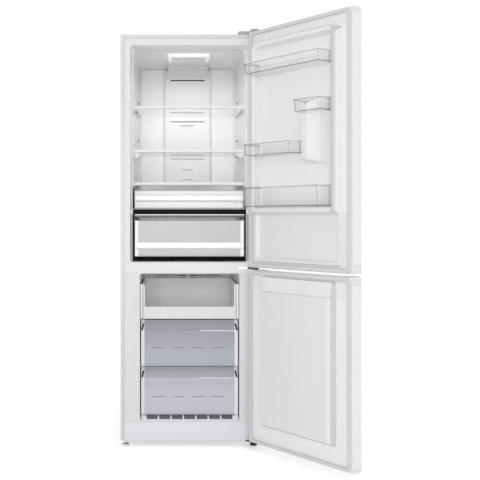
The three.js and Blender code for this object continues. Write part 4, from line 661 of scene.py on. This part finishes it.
def dress(obj, bevel, merge=True, smooth=SMOOTH):
    """Modifiers that round the edges of a faceted solid and shade its curves smooth."""
    if merge:
        obj.modifiers.new("merge", "NODES").node_group = MERGE
        flat = obj.modifiers.new("flat", "DECIMATE")
        flat.decimate_type, flat.angle_limit = "DISSOLVE", FLAT_LIMIT
    if bevel:
        edge = obj.modifiers.new("edge", "BEVEL")
        edge.width, edge.segments = bevel * MM, 2
        edge.limit_method, edge.angle_limit = "ANGLE", BEVEL_LIMIT
    obj.modifiers.new("smooth", "NODES").node_group = smooth
    normals = obj.modifiers.new("normals", "WEIGHTED_NORMAL")
    normals.keep_sharp = True


# Bevels of nodes or slots that differ from the usual one, in millimetres.
USUAL_BEVEL = 0.7
BEVEL = {"cabinet_foam": 0, "evaporator": 0, "shelf_glass": 0.4, "aluminium": 0}
# Nodes with shallow creases that have to stay sharp.
CREASED = {
    "lower_door_liner",
    "freezer_drawer_upper_front",
    "freezer_drawer_lower_front",
    "sill_grille",
}
for node, obj in NODES.items():
    slot = SLOT_OF[node]
    obj.data.materials.clear()
    obj.data.materials.append(OWN_FINISH.get(node) or FINISH[slot])
    bevel = BEVEL.get(node, BEVEL.get(slot, USUAL_BEVEL))
    dress(obj, bevel, smooth=CRISP if node in CREASED else SMOOTH)

# ---------- Shapes of detail pieces ----------


def loft(edit, rings):
    """Skins closed rings of points, and closes both ends."""
    loops = [[edit.verts.new(point) for point in ring] for ring in rings]
    for low, high in zip(loops, loops[1:]):
        for i in range(len(low)):
            j = (i + 1) % len(low)
            edit.faces.new((low[i], low[j], high[j], high[i]))
    edit.faces.new(loops[0][::-1])
    edit.faces.new(loops[-1])


def extrude(edit, outline, place, low, high):
    """Draws an outline of (a, b) points out between two depths; place turns (a, b, depth) into a point."""
    loft(edit, [[place(a, b, h) for a, b in outline] for h in (low, high)])


def rectangle(a0, a1, b0, b1):
    return [(a0, b0), (a1, b0), (a1, b1), (a0, b1)]


def rounded(a0, a1, b0, b1, r, steps=4):
    """A rectangle with round corners."""
    points = []
    corners = (
        (a1 - r, b1 - r, 0),
        (a0 + r, b1 - r, 90),
        (a0 + r, b0 + r, 180),
        (a1 - r, b0 + r, 270),
    )
    for ca, cb, start in corners:
        for i in range(steps + 1):
            angle = math.radians(start + 90 * i / steps)
            points.append((ca + r * math.cos(angle), cb + r * math.sin(angle)))
    return points


def lozenge(a, b, half_a, half_b, r):
    """A rectangle with round corners, by its middle and half its sides."""
    return rounded(a - half_a, a + half_a, b - half_b, b + half_b, r)


def facing(a, b, h):
    """Outlines drawn in the cabinet's X and Z, with Y as the depth."""
    return at(a, h, b)


def lying(a, b, h):
    """Outlines drawn in X and Y, with Z as the depth."""
    return at(a, b, h)


def sideways(a, b, h):
    """Outlines drawn in Y and Z, with X as the depth."""
    return at(h, a, b)


def handed_in(obj, body):
    """Puts an object in the scene, on its body."""
    bpy.context.scene.collection.objects.link(obj)
    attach(obj, body)


def made(name, body, slot, edit, material=None, bevel=0.3):
    """Finishes a piece whose mesh is already in place."""
    mesh = bpy.data.meshes.new(name)
    bmesh.ops.recalc_face_normals(edit, faces=edit.faces)
    edit.to_mesh(mesh)
    edit.free()
    obj = bpy.data.objects.new(name, mesh)
    mesh.materials.append(material or FINISH[slot])
    dress(obj, bevel, merge=False)
    handed_in(obj, body)


def tube(name, body, slot, runs, radius, material=None, closed=False):
    """Round rods along runs of points."""
    curve = bpy.data.curves.new(name, "CURVE")
    curve.dimensions, curve.bevel_depth, curve.bevel_resolution = "3D", radius * MM, 3
    curve.use_fill_caps = True
    for run in runs:
        line = curve.splines.new("POLY")
        line.points.add(len(run) - 1)
        line.use_cyclic_u = closed
        for point, place in zip(line.points, run):
            point.co = (*place, 1)
    curve.materials.append(material or FINISH[slot])
    handed_in(bpy.data.objects.new(name, curve), body)


def smooth_run(points, steps=8):
    """A Catmull-Rom curve through the points."""
    ends = [2 * points[0] - points[1], *points, 2 * points[-1] - points[-2]]
    run = []
    for a, b, c, d in zip(ends, ends[1:], ends[2:], ends[3:]):
        for i in range(steps):
            t = i / steps
            square = (2 * a - 5 * b + 4 * c - d) * t**2
            cube = (3 * b - a - 3 * c + d) * t**3
            run.append(0.5 * (2 * b + (c - a) * t + square + cube))
    return [*run, points[-1]]


# A pan head from its foot to the floor of its star recess: share of the radius, share of the rise, and
# how far every second point is drawn in, as a share of the radius.
SCREW_RINGS = (
    (1.0, 0.45, 0),
    (0.8, 0.9, 0),
    (0.5, 1.0, 0),
    (0.45, 1.0, 0.18),
    (0.42, 0.45, 0.16),
)
# How far the foot lies inside the surface, in millimetres.
SCREW_SUNK = 0.2
SCREW_POINTS = 12


def screw(edit, place, a, b, h, out, radius, rise):
    """A pan head with a star recess, on a surface at depth h, standing towards out (1 or -1)."""

    def ring(size, up, star):
        points = []
        for i in range(SCREW_POINTS):
            r, angle = size - star * (i % 2), 2 * math.pi * i / SCREW_POINTS
            points.append(place(a + r * math.cos(angle), b + r * math.sin(angle), h + out * up))
        return points

    rings = [ring(radius, -SCREW_SUNK, 0)]
    rings += [ring(radius * size, rise * up, radius * star) for size, up, star in SCREW_RINGS]
    loft(edit, rings)


# ---------- Fridge: lamp, air duct and rear wall ----------

# Depths at which pieces stand on the duct cover and on the liner's rear wall.
DUCT_FACE, REAR_WALL = 485.7, 499.7

# Bars under the lamp's lens, by depth.
BARS = (188, 226, 264)
BAR_HALF_LENGTH, BAR_HALF_WIDTH, BAR_CORNER = 78, 4, 3.9
BAR_UNDERSIDE, BAR_TOP = 1705.4, 1706.6


def lamp_bars():
    edit = bmesh.new()
    for y in BARS:
        outline = lozenge(0, y, BAR_HALF_LENGTH, BAR_HALF_WIDTH, BAR_CORNER)
        extrude(edit, outline, lying, BAR_UNDERSIDE, BAR_TOP)
    made("lamp_bars", "cabinet", "white_plastic", edit, PALE_GREY_AND_SHADE)


# From here on, a rise is how far a piece stands off its carrier, and what is sunk lies inside it.
SLOT_HALF_LENGTH, SLOT_HALF_HEIGHT, SLOT_CORNER = 82.8, 2.3, 2.2
SLOT_RISE, SLOT_SUNK = 0.1, 9.5


# Painted shade: a filler inside a slot of the duct cover stands for the shade in it; black in the top slot,
# grey and pale lower down.
def air_slot(name, z, material):
    outline = lozenge(0, z, SLOT_HALF_LENGTH, SLOT_HALF_HEIGHT, SLOT_CORNER)
    edit = bmesh.new()
    extrude(edit, outline, facing, DUCT_FACE - SLOT_RISE, DUCT_FACE + SLOT_SUNK)
    made(name, "cabinet", "black_plastic", edit, material, 0.2)


# Oval outlets: middle, height, half the width of frame and of mouth, and what they stand on.
OUTLETS = (
    (-1, 1431.5, 40, 34, DUCT_FACE),
    (-1, 1172, 31, 25, DUCT_FACE),
    (-2, 1122, 14, 10, REAR_WALL),
)
FRAME_HALF_HEIGHT, FRAME_CORNER, FRAME_RISE, FRAME_SUNK = 5.5, 5.2, 2.2, 0.1
MOUTH_HALF_HEIGHT, MOUTH_CORNER, MOUTH_RISE, MOUTH_SUNK = 2, 1.9, 0.5, 0.4


def outlets():
    edit = bmesh.new()
    for x, z, half_frame, _, carrier in OUTLETS:
        outline = lozenge(x, z, half_frame, FRAME_HALF_HEIGHT, FRAME_CORNER)
        extrude(edit, outline, facing, carrier - FRAME_RISE, carrier + FRAME_SUNK)
    # The raised frames are bright white, as a painted highlight.
    made("outlet_frames", "cabinet", "white_plastic", edit, BRIGHT, 0.5)
    # Painted shade: grey plates stand for the outlets' shaded mouths.
    edit = bmesh.new()
    for x, z, _, half_mouth, carrier in OUTLETS:
        face = carrier - FRAME_RISE
        outline = lozenge(x, z, half_mouth, MOUTH_HALF_HEIGHT, MOUTH_CORNER)
        extrude(edit, outline, facing, face - MOUTH_RISE, face + MOUTH_SUNK)
    made("outlet_mouth_shades", "cabinet", "grey_plastic", edit, SHADE_AND_PIN_GREY, 0.2)


# The duct cover's bead: its ends, heights and corner.
BEAD = (-28, 24, 1216, 1221, 2.4)
BEAD_RISE, BEAD_SUNK = 0.8, 0.3


def duct_bead():
    edit = bmesh.new()
    extrude(edit, rounded(*BEAD), facing, DUCT_FACE - BEAD_RISE, DUCT_FACE + BEAD_SUNK)
    made("duct_bead", "cabinet", "white_plastic", edit, PALE_GREY_AND_SHADE)


lamp_bars()
air_slot("air_slot_top_shade", 1651, SHADE_BLACK)
air_slot("air_slot_upper_shade", 1451, SHADE_AND_PIN_GREY)
air_slot("air_slot_lower_shade", 1270, PALE_GREY_AND_SHADE)
outlets()
duct_bead()

# ---------- Fridge: side walls ----------

SIDES = ((-1, "left"), (1, "right"))
# The walls' draft starts behind the recess, and takes this much off each side at the rear wall.
RECESS_DEPTH, RECESS_HALF, DRAFT, DRAFT_DEPTH = 84, 246.5, 9, 416


def wall(y):
    """Half the clear width of the fridge at a depth behind its recess."""
    return RECESS_HALF - DRAFT * (y - RECESS_DEPTH) / DRAFT_DEPTH


# Stops by depth and height. Their sections: half the length and how far they stand off the wall. Half
# the height and the corners are shares of half the length.
STOPS = ((400, 1530), (220, 1462), (400, 1352))
STOP_HEIGHT, STOP_CORNER = 0.62, 0.55
STOP_SECTIONS = ((9, -0.3), (8, 7), (7, 10.5), (4.5, 11.5))


def wall_stops():
    edit = bmesh.new()
    for side, _ in SIDES:
        for y, z in STOPS:
            rings = []
            for half, rise in STOP_SECTIONS:
                outline = lozenge(y, z, half, half * STOP_HEIGHT, half * STOP_CORNER)
                rings.append([sideways(a, b, side * (wall(y) - rise)) for a, b in outline])
            loft(edit, rings)
    # Painted shade: the stops are of the liner's plastic, painted grey.
    made("wall_stops", "cabinet", "liner", edit, STOP_SHADE_GREY, 0)


# Foam seals that close the duct cover's sides: how far from the middle, depth, foot and head.
DUCT_SEAL_X, DUCT_SEAL_Y, DUCT_SEAL_ENDS, DUCT_SEAL_RADIUS = 115, 497.5, (1150, 1690), 2.6


def duct_seal(side, name):
    ends = [at(side * DUCT_SEAL_X, DUCT_SEAL_Y, z) for z in DUCT_SEAL_ENDS]
    tube(f"duct_seal_{name}", "cabinet", "white_plastic", [ends], DUCT_SEAL_RADIUS)


# Ribs that climb towards the rear.
RIB_FRONT, RIB_BACK, RIB_HEIGHT, RIB_CLIMB, RIB_STEPS = 110, 400, 1512, 18, 10
RIB_RADIUS, RIB_SUNK = 1.6, 0.4


def wall_rib(side, name):
    run = []
    for i in range(RIB_STEPS + 1):
        share = i / RIB_STEPS
        y = RIB_FRONT + (RIB_BACK - RIB_FRONT) * share
        run.append(at(side * (wall(y) + RIB_SUNK), y, RIB_HEIGHT + RIB_CLIMB * share))
    tube(f"wall_rib_{name}", "cabinet", "liner", [run], RIB_RADIUS)


# Brackets under the middle shelf's front corners, in X and Z.
BRACKET = ((211, 1274.5), (245.5, 1274.5), (245.5, 1250), (238, 1246), (216, 1258))
BRACKET_FRONT, BRACKET_BACK = 106, 134
BRACKET_PINS = ((222, 1268), (240, 1264), (238, 1252))
PIN_RADIUS, PIN_RISE = 2.4, 1.0


def shelf_brackets():
    edit = bmesh.new()
    for side, _ in SIDES:
        outline = [(side * x, z) for x, z in BRACKET]
        extrude(edit, outline, facing, BRACKET_FRONT, BRACKET_BACK)
    made("shelf_brackets", "cabinet", "white_plastic", edit, bevel=1.2)
    edit = bmesh.new()
    for side, _ in SIDES:
        for x, z in BRACKET_PINS:
            screw(edit, facing, side * x, z, BRACKET_FRONT, -1, PIN_RADIUS, PIN_RISE)
    made("bracket_pins", "cabinet", "grey_plastic", edit, SHADE_AND_PIN_GREY, 0)


wall_stops()
for side, name in SIDES:
    duct_seal(side, name)
for side, name in SIDES:
    wall_rib(side, name)
shelf_brackets()

# ---------- Bead, and painted shade in the gap, under the crisper cover's trim ---

# Depths, heights and corner of each section, and half the length.
COVER_BEAD, COVER_BEAD_HALF = (33.6, 49, 996.6, 1000.9, 1.6), 238
COVER_GAP_SHADE, COVER_GAP_SHADE_HALF = (53, 60, 989, 995.5, 1.5), 237


def cover_strip(name, slot, section, half, material):
    edit = bmesh.new()
    extrude(edit, rounded(*section), sideways, -half, half)
    made(name, "cabinet", slot, edit, material, 0.2)


cover_strip("cover_bead", "white_plastic", COVER_BEAD, COVER_BEAD_HALF, BRIGHT)
# Painted shade: a grey strip stands for the shade in the gap between the trim and the crisper's front.
cover_strip("cover_gap_shade", "black_plastic", COVER_GAP_SHADE, COVER_GAP_SHADE_HALF, SHADE_AND_PIN_GREY)

# ---------- Freezer ----------

# Dashes of a drawer's front, from and to.
DASHES = ((-162, -106), (-76, -24), (11, 67), (89, 150))
DASH_HALF_HEIGHT, DASH_CORNER, DASH_RISE, DASH_SUNK = 1.1, 1, 0.5, 0.6
# Points of the painted highlight along a drawer's crease, and where its depth is taken.
PAINTED_HIGHLIGHT, PAINTED_HIGHLIGHT_RADIUS, PAINTED_HIGHLIGHT_DEPTH_AT = (45, 126, 207), 1.7, 120
# Corners of the painted shade at an end of the sloped band: inner and outer at its head, outer and inner at
# its foot.
END_SHADE, END_SHADE_RISE, END_SHADE_SUNK = (196, 203.5, 209.3, 202.5), 0.7, 0.5


def surface(node, x, z):
    """How far behind the cabinet's front a node's surface is, seen from in front."""
    before_doors = -700
    _, place, _, _ = bpy.data.objects[node].ray_cast(at(x, before_doors, z), Vector((0, 1, 0)))
    return (place.y - FRONT_Y) / MM


def drawer_lines(node, label, dash_z, highlight_z, shade_foot, shade_head):
    """Dashes painted dark as shade, a painted highlight along the crease, and painted shade at both ends of
    the sloped band of a drawer's front.
    """
    body, slot = BODY_OF[node], SLOT_OF[node]
    edit = bmesh.new()
    for x0, x1 in DASHES:
        y = surface(node, (x0 + x1) / 2, dash_z)
        outline = rounded(x0, x1, dash_z - DASH_HALF_HEIGHT, dash_z + DASH_HALF_HEIGHT, DASH_CORNER)
        extrude(edit, outline, facing, y - DASH_RISE, y + DASH_SUNK)
    made(f"{label}_dashes", body, slot, edit, DASH_SHADE, 0.1)
    y = surface(node, PAINTED_HIGHLIGHT_DEPTH_AT, highlight_z)
    run = [at(x, y, highlight_z) for x in PAINTED_HIGHLIGHT]
    tube(f"{label}_bright_white_and_painted_highlight", body, slot, [run], PAINTED_HIGHLIGHT_RADIUS, BRIGHT)
    edit = bmesh.new()
    for side, _ in SIDES:
        corners = zip(END_SHADE, (shade_head, shade_head, shade_foot, shade_foot))
        points = [(side * x, surface(node, side * x, z), z) for x, z in corners]
        depths = (-END_SHADE_RISE, END_SHADE_SUNK)
        loft(edit, [[at(x, y + depth, z) for x, y, z in points] for depth in depths])
    made(f"{label}_end_shades", body, slot, edit, SHADE_BLACK, 0.1)


# Ears of the tray, from its posts out to the liner.
EAR_INNER, EAR_OUTER, EAR_FOOT, EAR_HEAD, EAR_CORNER = 204.6, 212.3, 549, 697, 2
EAR_FRONT, EAR_BACK = 25, 40


def tray_ears():
    tray = "freezer_top_tray"
    edit = bmesh.new()
    for side, _ in SIDES:
        x0, x1 = sorted((side * EAR_INNER, side * EAR_OUTER))
        extrude(edit, rounded(x0, x1, EAR_FOOT, EAR_HEAD, EAR_CORNER), facing, EAR_FRONT, EAR_BACK)
    made("tray_ears", BODY_OF[tray], SLOT_OF[tray], edit, BRIGHT, 0.6)


SILL_CELLS, SILL_PITCH, SILL_HALF_CELL = 7, 54, 23.6
# Painted shade: a dark sheet at the floor of a cell of the sill, in Y and Z.
SILL_FLOOR = ((13.6, 114.6), (32.4, 128.3), (32.4, 129), (13.2, 115.4))


def sill_cell_shades():
    edit = bmesh.new()
    for i in range(SILL_CELLS):
        x = SILL_PITCH * (i - (SILL_CELLS - 1) / 2)
        extrude(edit, SILL_FLOOR, sideways, x - SILL_HALF_CELL, x + SILL_HALF_CELL)
    made("sill_cell_shades", "cabinet", "grey_plastic", edit, SILL_SHADE, 0)


drawer_lines("freezer_drawer_upper_front", "upper", 422.6, 496, 498, 525)
drawer_lines("freezer_drawer_lower_front", "lower", 210.2, 291, 293, 319)
tray_ears()
sill_cell_shades()

# ---------- Doors ----------

UPPER, LOWER = BODY_OF["upper_door_skin"], BODY_OF["lower_door_skin"]


def rack_loop(u0, u1, reach, z, r=12, steps=5):
    """The outline of a rack at a height, from the door's liner round its outer corners and back."""
    liner_w = 2
    points = [door(u0, liner_w, z)]
    for cu, start in ((u0 + r, 180), (u1 - r, 90)):
        for i in range(steps + 1):
            angle = math.radians(start - 90 * i / steps)
            points.append(door(cu + r * math.cos(angle), reach - r + r * math.sin(angle), z))
    points.append(door(u1, liner_w, z))
    return points


# Racks: from and to along the door, foot, rim, and how far they stand off the door.
RACKS = {
    "bottle_rack": (80, 515, 1031.5, 1112.5, 105),
    "hinge_side_rack": (80, 355, 1239.5, 1290.5, 100),
    "free_side_rack": (378, 515, 1394.5, 1444.5, 100),
    "top_rack": (80, 515, 1577.5, 1623.5, 100),
}


def rack_lines(name):
    """Painted shade and highlight: dark rods stand for the dark lines along a rack's clear edges, and a
    bright rod for the highlight on its rim. Its walls lean in towards the foot: 2 mm at the sides and some
    7 mm in front."""
    u0, u1, foot, rim, reach = RACKS[name]
    top, bottom = rim - 2, foot + 2
    # Where its side panes have an edge, off the door.
    side_w = 38
    runs = [
        rack_loop(u0, u1, reach, rim - 5),
        rack_loop(u0 + 2, u1 - 2, reach - 7, foot + 1.2),
        [door(u1 - 4, reach - 4, top), door(u1 - 6, reach - 9, bottom)],
        [door(u1 - 0.3, side_w, top), door(u1 - 2, side_w, bottom)],
        [door(u0 + 4, reach - 4, top), door(u0 + 6, reach - 9, bottom)],
    ]
    tube(f"{name}_edges", UPPER, "clear_plastic", runs, 0.85, RACK_EDGE_SHADE)
    rim_highlight_run = rack_loop(u0 + 1, u1 - 1, reach - 1, rim - 0.4)
    tube(f"{name}_rim", UPPER, "clear_plastic", [rim_highlight_run], 0.8, BRIGHT)


# Seals along the door, how far the painted shade lines at their edges stand off its inner face, and the
# inset and corner of each.
SEAL_START, SEAL_END = 13.5, 592
SHADE_LINE_W = 8.6
SHADE_LINES = ((2.2, 18), (14.4, 8))


def gasket_shade_lines(name, body, z0, z1):
    """Painted shade: a thin grey line along both edges of a seal."""
    runs = []
    for inset, r in SHADE_LINES:
        outline = rounded(SEAL_START + inset, SEAL_END - inset, z0 + inset, z1 - inset, r)
        runs.append([door(u, SHADE_LINE_W, z) for u, z in outline])
    tube(f"{name}_gasket_shade_lines", body, "gasket", runs, 0.8, PALE_GREY_AND_SHADE, closed=True)


# Painted shade: grey rods in the creases below and above the lower door's raised field and at the head of
# its slope: from and to along the door, how far off it, and height.
CREASE_SHADES = ((92.5, 502.5, 14, 120.8), (92.5, 502.5, 14, 679), (88, 507, 6, 739))


def field_crease_shades():
    runs = [[door(u0, w, z), door(u1, w, z)] for u0, u1, w, z in CREASE_SHADES]
    tube("field_crease_shades", LOWER, "liner", runs, 0.9, PALE_GREY_AND_SHADE)


for name in RACKS:
    rack_lines(name)
gasket_shade_lines("upper", UPPER, 778, 1773.5)
gasket_shade_lines("lower", LOWER, 33.5, 761)
field_crease_shades()

# ---------- Rear of the cabinet and compressor space ----------

# Screws of the back panel: their places in X and Z, and the panel's face.
BACK_SCREW_COLUMNS, BACK_SCREW_ROWS = (-270, -90, 90, 270), (262, 720, 1240, 1752)
BACK_FACE, BACK_SCREW_RADIUS, BACK_SCREW_RISE = 583.9, 4, 1.1


def back_screws():
    edit = bmesh.new()
    for x in BACK_SCREW_COLUMNS:
        for z in BACK_SCREW_ROWS:
            screw(edit, facing, x, z, BACK_FACE, 1, BACK_SCREW_RADIUS, BACK_SCREW_RISE)
    made("back_screws", "cabinet", "zinc_steel", edit, bevel=0)


# Sheets of the compressor space in Y and Z: the outline of its side walls, and the section of the sheet
# that runs up its front wall, over the slope and along its ceiling.
NICHE_SIDE = ((371.4, 45), (371.4, 194.2), (440.9, 283.2), (583, 283.2), (583, 45))
NICHE_LINING = (
    (370.5, 45), (370.5, 194.6), (440.4, 284.1), (583, 284.1),
    (583, 283.3), (440.8, 283.3), (371.3, 194.3), (371.3, 45),
)
NICHE_HALF, SHEET = 270.5, 0.8
# Strips at both sides of its rear: the outer edge, foot and head, and the depths.
STRIP_HALF, STRIP_FOOT, STRIP_HEAD, STRIP_FRONT, STRIP_BACK = 296, 45, 284, 584.2, 584.9


def niche_sheets():
    """Sheets that line the compressor space, and a strip at both sides of its rear."""
    half = NICHE_HALF + SHEET
    edit = bmesh.new()
    extrude(edit, NICHE_LINING, sideways, -half, half)
    for x0, x1 in ((-half, -NICHE_HALF), (NICHE_HALF, half)):
        extrude(edit, NICHE_SIDE, sideways, x0, x1)
    for x0, x1 in ((-STRIP_HALF, -NICHE_HALF), (NICHE_HALF, STRIP_HALF)):
        outline = rectangle(x0, x1, STRIP_FOOT, STRIP_HEAD)
        extrude(edit, outline, facing, STRIP_FRONT, STRIP_BACK)
    made("niche_sheets", "cabinet", "zinc_steel", edit, bevel=0)


# Points of the compressor's refrigerant pipes, and of the hose that drains into the tray.
SUCTION = ((-213, 472, 147), (-238, 474, 152), (-256, 486, 176), (-256, 500, 214))
DISCHARGE = ((-213, 508, 147), (-232, 512, 140), (-262, 520, 146), (-268, 528, 214))
HOSE = ((150, 512, 216), (150, 512, 160), (146, 508, 110), (140, 503, 62))


def pipe(name, slot, points, radius):
    tube(name, "cabinet", slot, [smooth_run([at(*point) for point in points])], radius)


back_screws()
niche_sheets()
pipe("suction_pipe", "black_steel", SUCTION, 4)
pipe("discharge_pipe", "black_steel", DISCHARGE, 3)
pipe("drain_hose", "black_plastic", HOSE, 7)

# ---------- Camera, floor and light ----------

bpy.context.scene.view_settings.view_transform = "Standard"

camera_data = bpy.data.cameras.new("camera")
camera_data.sensor_width, camera_data.lens = 36, 67.2
camera_data.shift_x, camera_data.shift_y = 0.145, -0.047
camera = bpy.data.objects.new("camera", camera_data)
camera.location = at(-83, -3862, 987)
camera.rotation_euler = (math.radians(90), 0, 0)
bpy.context.scene.collection.objects.link(camera)
bpy.context.scene.camera = camera

WHITE = (1, 1, 1, 1)
# Strength of the world's light, and how bright the world looks.
AMBIENT, BACKDROP = 0.63, 1.0
FLOOR_COLOR, FLOOR_ROUGH, FLOOR_GLOW = (0.9, 0.9, 0.9, 1), 0.9, 0.42
# In millimetres below the feet, and metres.
FLOOR_DROP, FLOOR_RADIUS = 0.5, 30


def sight(tree):
    """1 where a ray comes from the camera, a mirror or clear glass, and 0 where it gathers light."""
    path = tree.nodes.new("ShaderNodeLightPath")
    seen = path.outputs["Is Camera Ray"]
    for other in ("Is Glossy Ray", "Is Transmission Ray"):
        either = tree.nodes.new("ShaderNodeMath")
        either.operation = "MAXIMUM"
        tree.links.new(seen, either.inputs[0])
        tree.links.new(path.outputs[other], either.inputs[1])
        seen = either.outputs["Value"]
    return seen


def studio():
    """A white world that looks brighter than it lights."""
    world = bpy.data.worlds.new("studio")
    bpy.context.scene.world = world
    world.use_nodes = True
    tree = world.node_tree
    light = tree.nodes["Background"]
    light.inputs["Color"].default_value = WHITE
    light.inputs["Strength"].default_value = AMBIENT
    look = add_node(tree, "ShaderNodeBackground", Color=WHITE, Strength=BACKDROP)
    mix = tree.nodes.new("ShaderNodeMixShader")
    tree.links.new(sight(tree), mix.inputs["Fac"])
    tree.links.new(light.outputs[0], mix.inputs[1])
    tree.links.new(look.outputs[0], mix.inputs[2])
    tree.links.new(mix.outputs[0], tree.nodes["World Output"].inputs["Surface"])


def floor():
    """A wide pale floor that looks as white as the world."""
    mesh = bpy.data.meshes.new("floor")
    edit = bmesh.new()
    bmesh.ops.create_circle(edit, cap_ends=True, segments=96, radius=FLOOR_RADIUS)
    edit.to_mesh(mesh)
    edit.free()
    obj = bpy.data.objects.new("floor", mesh)
    obj.location.z = -FLOOR_DROP * MM
    bpy.context.scene.collection.objects.link(obj)
    material = bpy.data.materials.new("pale_floor")
    material.use_nodes = True
    tree = material.node_tree
    principled = tree.nodes["Principled BSDF"]
    principled.inputs["Base Color"].default_value = FLOOR_COLOR
    principled.inputs["Roughness"].default_value = FLOOR_ROUGH
    principled.inputs["Emission Color"].default_value = WHITE
    glow = tree.nodes.new("ShaderNodeMath")
    glow.operation = "MULTIPLY"
    glow.inputs[1].default_value = FLOOR_GLOW
    tree.links.new(sight(tree), glow.inputs[0])
    tree.links.new(glow.outputs[0], principled.inputs["Emission Strength"])
    mesh.materials.append(material)


def softbox(name, place, target, width, height, power, spread):
    data = bpy.data.lights.new(name, "AREA")
    data.spread = math.radians(spread)
    data.shape, data.size, data.size_y, data.energy = "RECTANGLE", width, height, power
    light = bpy.data.objects.new(name, data)
    light.location = place
    light.rotation_euler = (target - place).to_track_quat("-Z", "Y").to_euler()
    bpy.context.scene.collection.objects.link(light)


LAMPS = (
    # name, place, aim, width, height, watts, spread
    ("key", (-500, -4300, 2700), (0, 0, 1000), 2.0, 0.9, 14, 180),
    ("front", (-83, -4300, 1150), (0, 0, 950), 2.0, 1.6, 42, 180),
    ("left", (-3000, -3200, 1300), (200, 0, 900), 1.6, 1.6, 5, 180),
    ("inner", (0, 226, 1702), (0, 226, 0), 0.15, 0.12, 0.38, 150),
)
studio()
floor()
for name, place, aim, width, height, watts, spread in LAMPS:
    softbox(name, at(*place), at(*aim), width, height, watts, spread)

# ---------- Last update of the view layer ---

bpy.context.view_layer.update()
